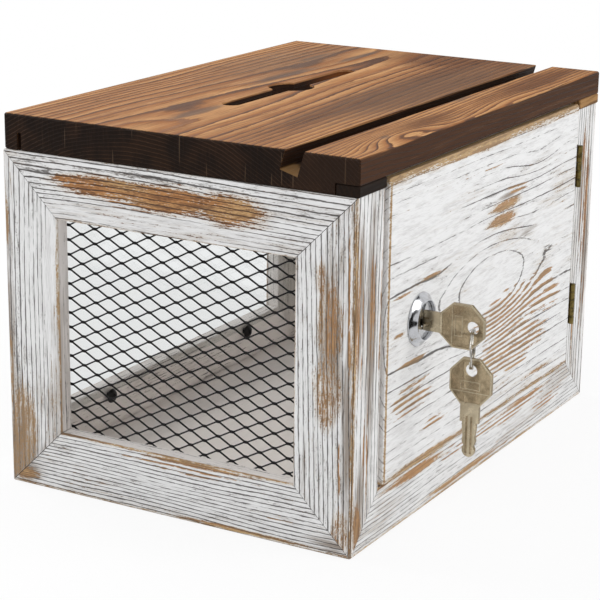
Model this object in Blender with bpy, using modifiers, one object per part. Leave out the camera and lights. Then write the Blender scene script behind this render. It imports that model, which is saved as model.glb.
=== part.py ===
"""Ballot box of whitewashed pine with a dark lid, mesh ends, a clear pane and a locked door.

Lengths are metres. The origin is the centre of the underside and +Z is up. The door faces -Y,
its hinges are at the +X end, the clear pane is on the +Y side and the two ends hold wire mesh.
"""

from math import asin, atan2, cos, pi, radians, sin, tan

import bmesh
import bpy
from mathutils import Matrix, Vector

# Fits and directions that every sub-part shares
GAP = 0.0003
CUT_OVERRUN = 0.004
WELD = 0.00001
SHARP_ANGLE = radians(35)
SQUARE_PROFILE = 0.5
EIGHTH_TURN = pi / 4
QUARTER_TURN = pi / 2
HALF_TURN = pi
FULL_TURN = 2 * pi
EAST = Vector((1, 0, 0))
NORTH = Vector((0, 1, 0))
UP = Vector((0, 0, 1))

# Box
BOX_LENGTH = 0.288
BOX_WIDTH = 0.200
BODY_HEIGHT = 0.1757
WALL = 0.009
BASE_THICKNESS = 0.009
WOOD_ROUNDING = 0.0006

# Mitred frames: the two ends and the window side share one member width
WINDOW_MEMBER = 0.032
DOOR_MEMBER = 0.027

# Lid
LID_THICKNESS = 0.018
LID_DOOR_OVERHANG = 0.001
LID_ROUNDING = 0.0008
SLOT_LENGTH = 0.131
SLOT_WIDTH = 0.010
SLOT_CENTRE_Y = 0.0185
COIN_RADIUS = 0.0125
SLOT_END_STEPS = 8
COIN_STEPS = 10
GROOVE_SETBACK = 0.034
GROOVE_WIDTH = 0.010
GROOVE_DEPTH = 0.0115
GROOVE_TILT = radians(16)
RABBET_HEIGHT = 0.0057

# Door
DOOR_THICKNESS = 0.012
DOOR_PROUD = 0.002
DOOR_LOCK_GAP = 0.0023
DOOR_BOTTOM_GAP = 0.001
DOOR_TOP_GAP = 0.002
DOOR_BACK_CLEARANCE = 0.0017
DOOR_ROUNDING = 0.001

# Clear pane behind the window side, lifted out of its seat on two screws
PANE_THICKNESS = 0.0018
PANE_CLEARANCE = 0.0003
PANE_ENGAGEMENT = 0.005
PANE_LIFT = 0.0035
PANE_END_GAP = 0.001
PANE_SCREW_DROP = 0.005
PANE_SCREW_SPACING = 0.142
PANE_SCREW_SHANK_RADIUS = 0.0016
PANE_SCREW_HEAD_RADIUS = 0.004
PANE_SCREW_HEAD_HEIGHT = 0.0022
PANE_SCREW_BITE = 0.006

# Diamond mesh panels
NET_COLUMNS = 9
NET_ROWS = 13
NET_THICKNESS = 0.0008
NET_STRAND = 0.0009
NET_BORDER = 0.004
NET_HOLE_SIDES = 4
STAPLE_CROWN = 0.010
STAPLE_WIRE_RADIUS = 0.00045
STAPLE_BITE = 0.005
STAPLE_EDGE_INSET = 0.002
STAPLE_BEND = 0.0008

# Butt hinges
HINGE_HEIGHT = 0.024
HINGE_INSET = 0.0235
HINGE_KNUCKLES = 5
LEAF_THICKNESS = 0.0009
LEAF_GAP = 0.0008
LEAF_REACH = 0.0105
PIN_RADIUS = 0.0007
PIN_CLEARANCE = 0.0003
PIN_PROUD = 0.0009
KNUCKLE_WALL = 0.0005
HINGE_SIDES = 14
HINGE_SCREW_SPACING = 0.013
HINGE_SCREW_REACH = 0.0065
HINGE_SCREW_HEAD_RADIUS = 0.0017
HINGE_SCREW_RADIUS = 0.0009
HINGE_SCREW_LENGTH = 0.009
HINGE_SCREW_TIP = 0.0015
SCREW_SIDES = 10

# Cam lock, heights measured outward from the door's front face
LOCK_INSET = 0.034
BEZEL_RADIUS = 0.0135
BEZEL_EDGE = 0.0006
BEZEL_HEIGHT = 0.004
BEZEL_LIP = 0.0007
LOCK_BARREL_RADIUS = 0.0095
LOCK_BARREL_LENGTH = 0.019
LOCK_LEDGE = 0.001
LOCK_SIDES = 32
NUT_FLATS = 0.024
NUT_THICKNESS = 0.003
NUT_SIDES = 6
PLUG_RADIUS = 0.007
PLUG_RECESS = 0.002
PLUG_TAIL_SIDE = 0.006
PLUG_TAIL_SHORTFALL = 0.0002
KEYWAY_DEPTH = 0.0185
KEYWAY_PLAY = 0.0003
CAM_THICKNESS = 0.002
CAM_WIDTH = 0.013
CAM_LENGTH = 0.044
CAM_CRANK_START = 0.0165
CAM_DOOR_CLEARANCE = 0.0004
CAM_END_STEPS = 8
CAM_SCREW_RADIUS = 0.0015
CAM_SCREW_BITE = 0.0039
CAM_SCREW_HEAD_RADIUS = 0.0044
CAM_SCREW_HEAD_HEIGHT = 0.002

# Keys and ring
KEY_THICKNESS = 0.002
BOW_LENGTH = 0.024
BOW_HEIGHT = 0.0224
BOW_END = 0.009
BOW_CORNER = 0.007
BOW_TOP = 0.010
NECK_LENGTH = 0.0086
NECK_HEIGHT = 0.010
BLADE_LENGTH = 0.0178
BLADE_HEIGHT = 0.0076
BLADE_OUTLINE_SHARES = (
    (0.00, 1.00),
    (0.18, 0.98),
    (0.41, 0.84),
    (0.53, 0.97),
    (0.61, 0.84),
    (0.68, 0.66),
    (0.76, 0.88),
    (0.87, 0.86),
    (0.95, 0.62),
    (1.00, 0.26),
)
KEY_HOLE_INSET = 0.0063
KEY_HOLE_RADIUS = 0.0032
KEY_HOLE_SIDES = 16
RING_WIRE_RADIUS = 0.0009
RING_OUTER_RADIUS = 0.010
RING_HANG = 0.0016
RING_YAW = radians(20)
RING_STEPS = 28
RING_WIRE_SIDES = 8

# Looks: colour, roughness and metallic value
WHITEWASH = ((0.72, 0.71, 0.68), 0.7, 0)
LIMED_PINE = ((0.66, 0.60, 0.50), 0.7, 0)
SCORCHED_PINE = ((0.27, 0.15, 0.08), 0.6, 0)
BROWN_PINE = ((0.36, 0.22, 0.10), 0.6, 0)
CLEAR_PLASTIC = ((0.92, 0.96, 0.96), 0.05, 0)
BLACK_WIRE = ((0.02, 0.02, 0.02), 0.45, 0.6)
BLACK_STEEL = ((0.03, 0.03, 0.03), 0.4, 0.8)
STAPLE_STEEL = ((0.55, 0.55, 0.54), 0.35, 1)
OLD_BRASS = ((0.33, 0.26, 0.10), 0.38, 1)
CHROME = ((0.82, 0.83, 0.85), 0.08, 1)
ZINC = ((0.62, 0.62, 0.60), 0.35, 1)
KEY_METAL = ((0.50, 0.45, 0.36), 0.32, 1)

# Places that follow from the sizes above
HALF_LENGTH = BOX_LENGTH / 2
HALF_WIDTH = BOX_WIDTH / 2
INNER_HALF_LENGTH = HALF_LENGTH - WALL
INNER_HALF_WIDTH = HALF_WIDTH - WALL
LID_BOTTOM = BODY_HEIGHT + GAP
LID_TOP = LID_BOTTOM + LID_THICKNESS
LID_FRONT_Y = -HALF_WIDTH - LID_DOOR_OVERHANG
RABBET_TOP = LID_BOTTOM + RABBET_HEIGHT
HINGE_GAP = 2 * LEAF_THICKNESS + LEAF_GAP + 2 * GAP
OPENING_HALF = HALF_LENGTH - DOOR_MEMBER
DOOR_LOW_X = -OPENING_HALF + DOOR_LOCK_GAP
DOOR_HIGH_X = OPENING_HALF - HINGE_GAP
DOOR_FRONT_Y = -HALF_WIDTH - DOOR_PROUD
DOOR_BACK_Y = DOOR_FRONT_Y + DOOR_THICKNESS
DOOR_LOW_Z = DOOR_MEMBER + DOOR_BOTTOM_GAP
DOOR_HIGH_Z = RABBET_TOP - DOOR_TOP_GAP
RABBET_BACK_Y = DOOR_BACK_Y + DOOR_BACK_CLEARANCE
PIN_BORE_RADIUS = PIN_RADIUS + PIN_CLEARANCE
BARREL_RADIUS = PIN_BORE_RADIUS + KNUCKLE_WALL
PIN_AXIS = Vector((OPENING_HALF - HINGE_GAP / 2, DOOR_FRONT_Y - PIN_PROUD, 0))
HINGE_CENTRES_Z = {
    "lower": DOOR_LOW_Z + HINGE_INSET + HINGE_HEIGHT / 2,
    "upper": DOOR_HIGH_Z - HINGE_INSET - HINGE_HEIGHT / 2,
}
PANE_OUTER_Y = INNER_HALF_WIDTH - PANE_CLEARANCE
PANE_INNER_Y = PANE_OUTER_Y - PANE_THICKNESS
PANE_SCREW_Z = WINDOW_MEMBER - PANE_SCREW_DROP
PANE_LOW_Z = PANE_SCREW_Z + PANE_SCREW_SHANK_RADIUS + GAP
PANE_HIGH_Z = LID_BOTTOM + PANE_ENGAGEMENT
LOCK_CENTRE = Vector((DOOR_LOW_X + LOCK_INSET, DOOR_FRONT_Y, (DOOR_LOW_Z + DOOR_HIGH_Z) / 2))
PLUG_FACE = BEZEL_HEIGHT - PLUG_RECESS
CAM_NEAR_FACE = -LOCK_BARREL_LENGTH - 2 * GAP
CAM_FAR_FACE = CAM_NEAR_FACE - CAM_THICKNESS
PLUG_TAIL_END = CAM_FAR_FACE + PLUG_TAIL_SHORTFALL
KEY_LENGTH = BOW_LENGTH + NECK_LENGTH + BLADE_LENGTH
KEY_END_Y = DOOR_FRONT_Y - PLUG_FACE - GAP - NECK_LENGTH - BOW_LENGTH
RING_RADIUS = RING_OUTER_RADIUS - RING_WIRE_RADIUS
RING_TOP = Vector((LOCK_CENTRE.x, KEY_END_Y + KEY_HOLE_INSET, LOCK_CENTRE.z - RING_HANG))
RING_BOTTOM = RING_TOP - UP * 2 * RING_RADIUS
SPARE_END = RING_BOTTOM + UP * (KEY_HOLE_INSET - RING_HANG)


def clear_scene():
    """Empty the scene of objects and collections."""
    for item in list(bpy.data.objects):
        bpy.data.objects.remove(item, do_unlink=True)
    for item in list(bpy.data.collections):
        bpy.data.collections.remove(item)


def new_collection(name):
    """A collection under the scene's own."""
    group = bpy.data.collections.new(name)
    bpy.context.scene.collection.children.link(group)
    return group


def new_material(name, look):
    """A plain surface of one colour."""
    colour, roughness, metallic = look
    material = bpy.data.materials.new(name)
    material.use_nodes = True
    shader = material.node_tree.nodes["Principled BSDF"]
    shader.inputs["Base Color"].default_value = (*colour, 1)
    shader.inputs["Roughness"].default_value = roughness
    shader.inputs["Metallic"].default_value = metallic
    material.diffuse_color = (*colour, 1)
    return material


def facing(x_axis, y_axis):
    """The rotation that turns an object's X and Y to two directions at right angles."""
    z_axis = x_axis.cross(y_axis)
    return Matrix((x_axis, y_axis, z_axis)).transposed().to_euler()


def place(name, mesh, group, location, rotation=(0, 0, 0)):
    """An object that shows a mesh at a place."""
    item = bpy.data.objects.new(name, mesh)
    item.location = location
    item.rotation_euler = rotation
    group.objects.link(item)
    return item


def add_part(name, mesh, look, parts, location, rotation=(0, 0, 0)):
    """A sub-part with a material of its own."""
    item = place(name, mesh, parts, location, rotation)
    mesh.materials.clear()
    mesh.materials.append(new_material(name, look))
    return item


def attach(child, carrier):
    """Hang an object on an empty without moving it."""
    bpy.context.view_layer.update()
    child.parent = carrier
    child.matrix_parent_inverse = carrier.matrix_world.inverted()


def axis_empty(name, group, location, carrier=None):
    """An empty on a joint's axis that carries the pieces that move on it."""
    empty = place(name, None, group, location)
    if carrier is not None:
        attach(empty, carrier)
    return empty


def mesh_from_form(name, form):
    """Face a bmesh outward and keep it as a mesh."""
    bmesh.ops.recalc_face_normals(form, faces=form.faces[:])
    mesh = bpy.data.meshes.new(name)
    form.to_mesh(mesh)
    form.free()
    return mesh


def block_form(size):
    """A box of a given size about its centre."""
    form = bmesh.new()
    bmesh.ops.create_cube(form, size=1)
    bmesh.ops.scale(form, vec=size, verts=form.verts[:])
    return form


def block_mesh(name, low, high):
    """The mesh of a box between two corners, about its centre, and that centre."""
    low = Vector(low)
    high = Vector(high)
    return mesh_from_form(name, block_form(high - low)), (low + high) / 2


def add_block(name, low, high, look, parts, rounding):
    """A sub-part that is a box with softened edges."""
    mesh, centre = block_mesh(name, low, high)
    item = add_part(name, mesh, look, parts, centre)
    soften(item, rounding)
    return item


def soften(item, width):
    """Break an object's sharp edges."""
    bevel = item.modifiers.new("Softened edges", "BEVEL")
    bevel.width = width
    bevel.segments = 1
    bevel.limit_method = "ANGLE"
    bevel.angle_limit = SHARP_ANGLE


def saw(form, point, normal):
    """Cut a form along a plane, drop the side the normal points to and close the cut."""
    geometry = form.verts[:] + form.edges[:] + form.faces[:]
    cut = bmesh.ops.bisect_plane(form, geom=geometry, plane_co=point, plane_no=normal, clear_outer=True)
    rim = [item for item in cut["geom_cut"] if isinstance(item, bmesh.types.BMEdge)]
    bmesh.ops.edgeloop_fill(form, edges=rim)


def mesh_from_source(name, data, modifier=None):
    """The evaluated mesh of a curve, or of a line that a modifier turns into a solid."""
    source = bpy.data.objects.new(name, data)
    bpy.context.scene.collection.objects.link(source)
    if modifier is not None:
        modifier(source)
    evaluated = source.evaluated_get(bpy.context.evaluated_depsgraph_get())
    form = bmesh.new()
    form.from_mesh(bpy.data.meshes.new_from_object(evaluated))
    bpy.data.objects.remove(source, do_unlink=True)
    bmesh.ops.remove_doubles(form, verts=form.verts[:], dist=WELD)
    return mesh_from_form(name, form)


def smooth(mesh):
    """Shade a round mesh smooth and keep its real edges sharp."""
    mesh.shade_smooth()
    mesh.set_sharp_from_angle(angle=SHARP_ANGLE)
    return mesh


def flat_mesh(name, outlines, thickness):
    """A flat solid about its mid plane: the first outline is its edge, the others are holes."""
    curve = bpy.data.curves.new(name, "CURVE")
    curve.dimensions = "2D"
    curve.fill_mode = "BOTH"
    curve.extrude = thickness / 2
    for outline in outlines:
        spline = curve.splines.new("POLY")
        spline.points.add(len(outline) - 1)
        for point, (x, y) in zip(spline.points, outline):
            point.co = (x, y, 0, 1)
        spline.use_cyclic_u = True
    return mesh_from_source(name, curve)


def turned_mesh(name, profile, sides, closed=False):
    """A solid turned about Z from (radius, height) points that run down its outer side."""
    count = len(profile)
    edges = [(index, index + 1) for index in range(count - 1)]
    if closed:
        edges.append((count - 1, 0))
    line = bpy.data.meshes.new(name)
    line.from_pydata([(radius, 0, height) for radius, height in profile], edges, [])

    def turn(source):
        screw = source.modifiers.new("Turned", "SCREW")
        screw.steps = sides
        screw.render_steps = sides
        screw.use_merge_vertices = True
        screw.merge_threshold = WELD

    return smooth(mesh_from_source(name, line, turn))


def rod_mesh(name, radius, length, sides):
    """A cylinder along Z about its centre."""
    form = bmesh.new()
    bmesh.ops.create_cone(
        form, cap_ends=True, segments=sides, radius1=radius, radius2=radius, depth=length
    )
    return smooth(mesh_from_form(name, form))


def arc_points(radius, start, end, steps, centre=(0, 0)):
    """Points along an arc, both ends kept."""
    turns = [start + (end - start) * step / steps for step in range(steps + 1)]
    return [(centre[0] + radius * cos(turn), centre[1] + radius * sin(turn)) for turn in turns]


def circle_points(radius, steps, centre=(0, 0)):
    """Points round a circle."""
    return arc_points(radius, 0, FULL_TURN, steps, centre)[:-1]


def combine(item, tool, operation):
    """Put a Boolean on an object and keep its tool out of the render."""
    tool.hide_render = True
    tool.display_type = "WIRE"
    change = item.modifiers.new(tool.name, "BOOLEAN")
    change.operation = operation
    change.solver = "EXACT"
    change.object = tool


def cut_block(item, name, low, high, cutters):
    """Cut a box between two corners out of an object."""
    mesh, centre = block_mesh(name, low, high)
    combine(item, place(name, mesh, cutters, centre), "DIFFERENCE")


def drill(item, mouth, rotation, radius, depth, sides, cutters):
    """Bore a round hole from its mouth, against the way the rotation turns +Z."""
    name = item.name + "_bore_" + str(len(item.modifiers))
    tool = place(name, rod_mesh(name, radius, depth + CUT_OVERRUN, sides), cutters, mouth, rotation)
    outward = tool.rotation_euler.to_matrix() @ UP
    tool.location = Vector(mouth) + outward * (CUT_OVERRUN - depth) / 2
    combine(item, tool, "DIFFERENCE")


def plane_edges(form, grain):
    """Break the edges of a board that run along its grain."""
    edges = []
    for edge in form.edges:
        run = (edge.verts[1].co - edge.verts[0].co).normalized()
        if abs(run.dot(grain)) > cos(SHARP_ANGLE):
            edges.append(edge)
    bmesh.ops.bevel(
        form, geom=edges, offset=WOOD_ROUNDING, segments=1, profile=SQUARE_PROFILE, affect="EDGES"
    )


def frame_member(name, low, high, grain, planes, turn, look, parts):
    """A mitred wall member, its box and saw cuts given facing -Y and then turned to its wall."""
    low = Vector(low)
    high = Vector(high)
    centre = (low + high) / 2
    form = block_form(high - low)
    plane_edges(form, grain)
    for point, normal in planes:
        normal = Vector(normal).normalized()
        saw(form, Vector(point) - centre - normal * GAP / 2, normal)
    heading = Matrix.Rotation(turn, 3, "Z")
    mesh = mesh_from_form(name, form)
    return add_part(name, mesh, look, parts, heading @ centre, (0, 0, turn))


def build_wall(side, turn, half, reach, member, rails, stiles, look, parts):
    """A wall's rails and stiles, mitred to each other and to the next walls."""
    members = {}
    outer_y = -reach
    inner_y = -reach + WALL
    corners = {-1: ((-half, outer_y, 0), (-1, 1, 0)), 1: ((half, outer_y, 0), (1, 1, 0))}
    edges = {"bottom_rail": (0, member, 1), "top_rail": (BODY_HEIGHT - member, BODY_HEIGHT, -1)}
    for rail in rails:
        low_z, high_z, up = edges[rail]
        edge_z = 0 if up > 0 else BODY_HEIGHT
        planes = [corners[-1], corners[1]]
        for hand in (-1, 1):
            planes.append(((hand * half, 0, edge_z), (hand, 0, up)))
        low = (-half, outer_y, low_z)
        high = (half, inner_y, high_z)
        name = side + "_" + rail
        members[rail] = frame_member(name, low, high, EAST, planes, turn, look, parts)
    for hand, stile in zip((-1, 1), stiles):
        planes = [corners[hand], ((hand * half, 0, 0), (-hand, 0, -1))]
        if "top_rail" in rails:
            planes.append(((hand * half, 0, BODY_HEIGHT), (-hand, 0, 1)))
        low_x, high_x = sorted((hand * half, hand * (half - member)))
        low = (low_x, outer_y, 0)
        high = (high_x, inner_y, BODY_HEIGHT)
        name = side + "_" + stile
        members[stile] = frame_member(name, low, high, UP, planes, turn, look, parts)
    return members


def build_base(parts):
    """The floor panel, let in between the four walls."""
    half_length = INNER_HALF_LENGTH - GAP
    half_width = INNER_HALF_WIDTH - GAP
    low = (-half_length, -half_width, 0)
    high = (half_length, half_width, BASE_THICKNESS)
    add_block("base_panel", low, high, WHITEWASH, parts, WOOD_ROUNDING)


def slot_outline():
    """The paper slot with the coin hole across its middle."""
    half_width = SLOT_WIDTH / 2
    cap = SLOT_LENGTH / 2 - half_width
    meet = asin(half_width / COIN_RADIUS)
    right = arc_points(half_width, -QUARTER_TURN, QUARTER_TURN, SLOT_END_STEPS, (cap, 0))
    far = arc_points(COIN_RADIUS, meet, HALF_TURN - meet, COIN_STEPS)
    left = arc_points(half_width, QUARTER_TURN, QUARTER_TURN + HALF_TURN, SLOT_END_STEPS, (-cap, 0))
    near = arc_points(COIN_RADIUS, HALF_TURN + meet, FULL_TURN - meet, COIN_STEPS)
    return right + far + left + near


def build_lid(parts, cutters):
    """The lid board with its slot, sign groove, pane kerf and door rabbet."""
    low = (-HALF_LENGTH, LID_FRONT_Y, LID_BOTTOM)
    high = (HALF_LENGTH, LID_FRONT_Y + BOX_WIDTH, LID_TOP)
    lid = add_block("lid_board", low, high, SCORCHED_PINE, parts, LID_ROUNDING)

    slot_mesh = flat_mesh("slot_cutter", [slot_outline()], LID_THICKNESS + 2 * CUT_OVERRUN)
    slot_centre = (0, SLOT_CENTRE_Y, (LID_BOTTOM + LID_TOP) / 2)
    combine(lid, place("slot_cutter", slot_mesh, cutters, slot_centre), "DIFFERENCE")

    run = HALF_LENGTH + CUT_OVERRUN
    groove_form = block_form((2 * run, GROOVE_WIDTH, 2 * GROOVE_DEPTH))
    groove_mesh = mesh_from_form("groove_cutter", groove_form)
    groove_centre = (0, LID_FRONT_Y + GROOVE_SETBACK, LID_TOP)
    groove = place("groove_cutter", groove_mesh, cutters, groove_centre, (GROOVE_TILT, 0, 0))
    combine(lid, groove, "DIFFERENCE")

    below = LID_BOTTOM - CUT_OVERRUN
    kerf_low = (-run, PANE_INNER_Y - PANE_CLEARANCE, below)
    kerf_high = (run, INNER_HALF_WIDTH, PANE_HIGH_Z + PANE_LIFT + GAP)
    cut_block(lid, "kerf_cutter", kerf_low, kerf_high, cutters)

    rabbet_low = (-run, LID_FRONT_Y - CUT_OVERRUN, below)
    rabbet_high = (run, RABBET_BACK_Y, RABBET_TOP)
    cut_block(lid, "rabbet_cutter", rabbet_low, rabbet_high, cutters)


def build_lid_end_blocks(parts):
    """The two blocks that fill the lid's rabbet above the door side's stiles."""
    for name, hand in (("lid_end_block_left", -1), ("lid_end_block_right", 1)):
        low_x, high_x = sorted((hand * HALF_LENGTH, hand * OPENING_HALF))
        low = (low_x, LID_FRONT_Y, LID_BOTTOM)
        high = (high_x, RABBET_BACK_Y - GAP, RABBET_TOP - GAP)
        add_block(name, low, high, BROWN_PINE, parts, WOOD_ROUNDING)


def screw_mesh(name, head_radius, head_height, shank_radius, length, tip):
    """A round-head screw about Z, the seat of its head at height zero."""
    crown = [
        (head_radius * cos(turn), head_height * sin(turn))
        for turn in (QUARTER_TURN, EIGHTH_TURN * 1.4, EIGHTH_TURN * 0.7, 0)
    ]
    crown[0] = (0, head_height)
    shank = [(shank_radius, 0), (shank_radius, tip - length), (0, -length)]
    return turned_mesh(name, crown + shank, SCREW_SIDES)


def build_pane(bottom_rail, axis, parts, cutters):
    """The clear pane, and the two screws whose heads hold its lower edge to the bottom rail."""
    half = INNER_HALF_LENGTH - PANE_END_GAP
    mesh, centre = block_mesh(
        "clear_pane", (-half, PANE_INNER_Y, PANE_LOW_Z), (half, PANE_OUTER_Y, PANE_HIGH_Z)
    )
    attach(add_part("clear_pane", mesh, CLEAR_PLASTIC, parts, centre), axis)

    seat_y = PANE_INNER_Y - GAP
    length = INNER_HALF_WIDTH - seat_y + PANE_SCREW_BITE
    rotation = facing(EAST, UP)
    for name, hand in (("pane_screw_left", -1), ("pane_screw_right", 1)):
        mesh = screw_mesh(
            name,
            PANE_SCREW_HEAD_RADIUS,
            PANE_SCREW_HEAD_HEIGHT,
            PANE_SCREW_SHANK_RADIUS,
            length,
            PANE_SCREW_SHANK_RADIUS,
        )
        x = hand * PANE_SCREW_SPACING / 2
        add_part(name, mesh, BLACK_STEEL, parts, (x, seat_y, PANE_SCREW_Z), rotation)
        mouth = (x, INNER_HALF_WIDTH, PANE_SCREW_Z)
        radius = PANE_SCREW_SHANK_RADIUS + GAP
        drill(bottom_rail, mouth, rotation, radius, PANE_SCREW_BITE + GAP, SCREW_SIDES, cutters)


def staple_places(half_across, half_up):
    """Each staple's name, centre and crown turn in the wall's plane, and the rail or stile it bites."""
    across = half_across - STAPLE_EDGE_INSET
    up = half_up - STAPLE_EDGE_INSET
    return (
        ("bottom_staple", (0, -up), 0, 0),
        ("top_staple", (0, up), 0, 1),
        ("first_side_staple", (-across, 0), QUARTER_TURN, 2),
        ("second_side_staple", (across, 0), QUARTER_TURN, 3),
    )


def staple_legs(centre, turn):
    """The two leg centres of a staple in the wall's plane."""
    offset = (STAPLE_CROWN / 2 - STAPLE_WIRE_RADIUS) * Vector((cos(turn), sin(turn)))
    return Vector(centre) - offset, Vector(centre) + offset


def staple_mesh(name, leg_length):
    """A staple with its crown along X at height zero and its legs along +Z."""
    half = STAPLE_CROWN / 2 - STAPLE_WIRE_RADIUS
    near = [(half, leg_length), (half, STAPLE_BEND), (half - STAPLE_BEND, 0)]
    route = near + [(-x, z) for x, z in reversed(near)]
    curve = bpy.data.curves.new(name, "CURVE")
    curve.dimensions = "3D"
    curve.bevel_depth = STAPLE_WIRE_RADIUS
    curve.bevel_resolution = 1
    curve.use_fill_caps = True
    spline = curve.splines.new("POLY")
    spline.points.add(len(route) - 1)
    for point, (x, z) in zip(spline.points, route):
        point.co = (x, 0, z, 1)
    return smooth(mesh_from_source(name, curve))


def net_outlines(pitch_across, pitch_up, half_across, half_up):
    """The net's edge, its diamond gaps and the holes that its staples' legs pass."""
    slope = atan2(pitch_up, pitch_across)
    gap_across = pitch_across / 2 - NET_STRAND / 2 / sin(slope)
    gap_up = pitch_up / 2 - NET_STRAND / 2 / cos(slope)
    outlines = [
        [(-half_across, -half_up), (half_across, -half_up), (half_across, half_up), (-half_across, half_up)]
    ]
    for columns, rows in ((NET_COLUMNS, NET_ROWS), (NET_COLUMNS - 1, NET_ROWS - 1)):
        for column in range(columns):
            for row in range(rows):
                x = (column - (columns - 1) / 2) * pitch_across
                y = (row - (rows - 1) / 2) * pitch_up
                outlines.append([(x - gap_across, y), (x, y - gap_up), (x + gap_across, y), (x, y + gap_up)])
    for name, centre, turn, member in staple_places(half_across, half_up):
        for leg in staple_legs(centre, turn):
            outlines.append(circle_points(STAPLE_WIRE_RADIUS + 2 * GAP, NET_HOLE_SIDES, leg))
    return outlines


def build_net(side, turn, members, parts, cutters):
    """A diamond mesh panel stapled to the inner face of an end frame."""
    pitch_across = (BOX_WIDTH - 2 * WINDOW_MEMBER) / (NET_COLUMNS - 1)
    pitch_up = (BODY_HEIGHT - 2 * WINDOW_MEMBER) / (NET_ROWS - 1)
    half_across = NET_COLUMNS * pitch_across / 2 + NET_BORDER
    half_up = NET_ROWS * pitch_up / 2 + NET_BORDER
    outlines = net_outlines(pitch_across, pitch_up, half_across, half_up)
    heading = Matrix.Rotation(turn, 3, "Z")
    inner_y = -INNER_HALF_LENGTH
    centre_z = BODY_HEIGHT / 2
    mesh = flat_mesh(side + "_mesh", outlines, NET_THICKNESS)
    location = heading @ Vector((0, inner_y + GAP + NET_THICKNESS / 2, centre_z))
    add_part(side + "_mesh", mesh, BLACK_WIRE, parts, location, (QUARTER_TURN, 0, turn))

    crown_y = inner_y + GAP + NET_THICKNESS + GAP + STAPLE_WIRE_RADIUS
    leg_length = crown_y - inner_y + STAPLE_BITE
    for staple, centre, crown_turn, member in staple_places(half_across, half_up):
        name = side + "_" + staple
        along = heading @ Vector((cos(crown_turn), 0, sin(crown_turn)))
        across = heading @ Vector((-sin(crown_turn), 0, cos(crown_turn)))
        location = heading @ Vector((centre[0], crown_y, centre_z + centre[1]))
        mesh = staple_mesh(name, leg_length)
        add_part(name, mesh, STAPLE_STEEL, parts, location, facing(along, across))
        for leg in staple_legs(centre, crown_turn):
            mouth = heading @ Vector((leg.x, inner_y, centre_z + leg.y))
            rotation = (-QUARTER_TURN, 0, turn)
            radius = STAPLE_WIRE_RADIUS + GAP
            drill(members[member], mouth, rotation, radius, STAPLE_BITE + GAP, SCREW_SIDES, cutters)


def build_door(axis, parts, cutters):
    """The door panel, bored for the lock."""
    low = (DOOR_LOW_X, DOOR_FRONT_Y, DOOR_LOW_Z)
    high = (DOOR_HIGH_X, DOOR_BACK_Y, DOOR_HIGH_Z)
    door = add_block("door_panel", low, high, WHITEWASH, parts, DOOR_ROUNDING)
    attach(door, axis)
    radius = LOCK_BARREL_RADIUS + GAP
    depth = DOOR_THICKNESS + CUT_OVERRUN
    drill(door, LOCK_CENTRE, facing(EAST, UP), radius, depth, LOCK_SIDES, cutters)
    return door


def knuckle_spans(own):
    """The height spans, from the hinge's middle, of one leaf's knuckles."""
    pitch = HINGE_HEIGHT / HINGE_KNUCKLES
    spans = []
    for index in range(own, HINGE_KNUCKLES, 2):
        low = index * pitch - HINGE_HEIGHT / 2
        spans.append((low + GAP / 2, low + pitch - GAP / 2))
    return spans


def leaf_outline(spans):
    """A hinge leaf flat: reach from the pin axis against height, with a finger to each knuckle."""
    half = HINGE_HEIGHT / 2
    edge = BARREL_RADIUS + GAP
    outline = [(LEAF_REACH, -half), (LEAF_REACH, half), (edge, half)]
    for low, high in reversed(spans):
        outline += [(edge, high), (0, high), (0, low), (edge, low)]
    return outline + [(edge, -half)]


def build_leaf(name, hand, own, middle, wood, axis, parts, cutters):
    """A hinge leaf and its screws: hand 1 lies on the stile, hand -1 on the door."""
    spans = knuckle_spans(own)
    thickness_centre = hand * (LEAF_GAP + LEAF_THICKNESS) / 2
    mesh = flat_mesh(name, [leaf_outline(spans)], LEAF_THICKNESS)
    leaf = add_part(name, mesh, OLD_BRASS, parts, middle + EAST * thickness_centre, facing(NORTH, UP))
    for index, (low, high) in enumerate(spans):
        tool_name = name + "_knuckle_" + str(index)
        knuckle = rod_mesh(tool_name, BARREL_RADIUS, high - low, HINGE_SIDES)
        centre = middle + UP * (low + high) / 2
        combine(leaf, place(tool_name, knuckle, cutters, centre), "UNION")
    bore_depth = HINGE_HEIGHT + CUT_OVERRUN
    drill(leaf, middle + UP * HINGE_HEIGHT / 2, (0, 0, 0), PIN_BORE_RADIUS, bore_depth, HINGE_SIDES, cutters)

    rotation = facing(UP, NORTH) if hand > 0 else facing(NORTH, UP)
    seat = middle + EAST * hand * LEAF_GAP / 2 + NORTH * HINGE_SCREW_REACH
    items = [leaf]
    for place_name, step in (("low", -1), ("high", 1)):
        centre = seat + UP * step * HINGE_SCREW_SPACING / 2
        screw_name = name + "_screw_" + place_name
        mesh = countersunk_mesh(screw_name, 0, 0)
        items.append(add_part(screw_name, mesh, OLD_BRASS, parts, centre, rotation))
        tool_name = screw_name + "_bore"
        tool = place(tool_name, countersunk_mesh(tool_name, GAP, CUT_OVERRUN), cutters, centre, rotation)
        combine(leaf, tool, "DIFFERENCE")
        combine(wood, tool, "DIFFERENCE")
    if axis is not None:
        for item in items:
            attach(item, axis)


def countersunk_mesh(name, clearance, overrun):
    """A countersunk screw about Z with its head's face at height zero, or its clearance hole."""
    head = HINGE_SCREW_HEAD_RADIUS + clearance
    shank = HINGE_SCREW_RADIUS + clearance
    profile = [
        (0, overrun),
        (head, overrun),
        (shank, clearance - LEAF_THICKNESS),
        (shank, HINGE_SCREW_TIP - HINGE_SCREW_LENGTH - clearance),
        (0, -HINGE_SCREW_LENGTH - clearance),
    ]
    if overrun > 0:
        profile.insert(2, (head, 0))
    return turned_mesh(name, profile, SCREW_SIDES)


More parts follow.
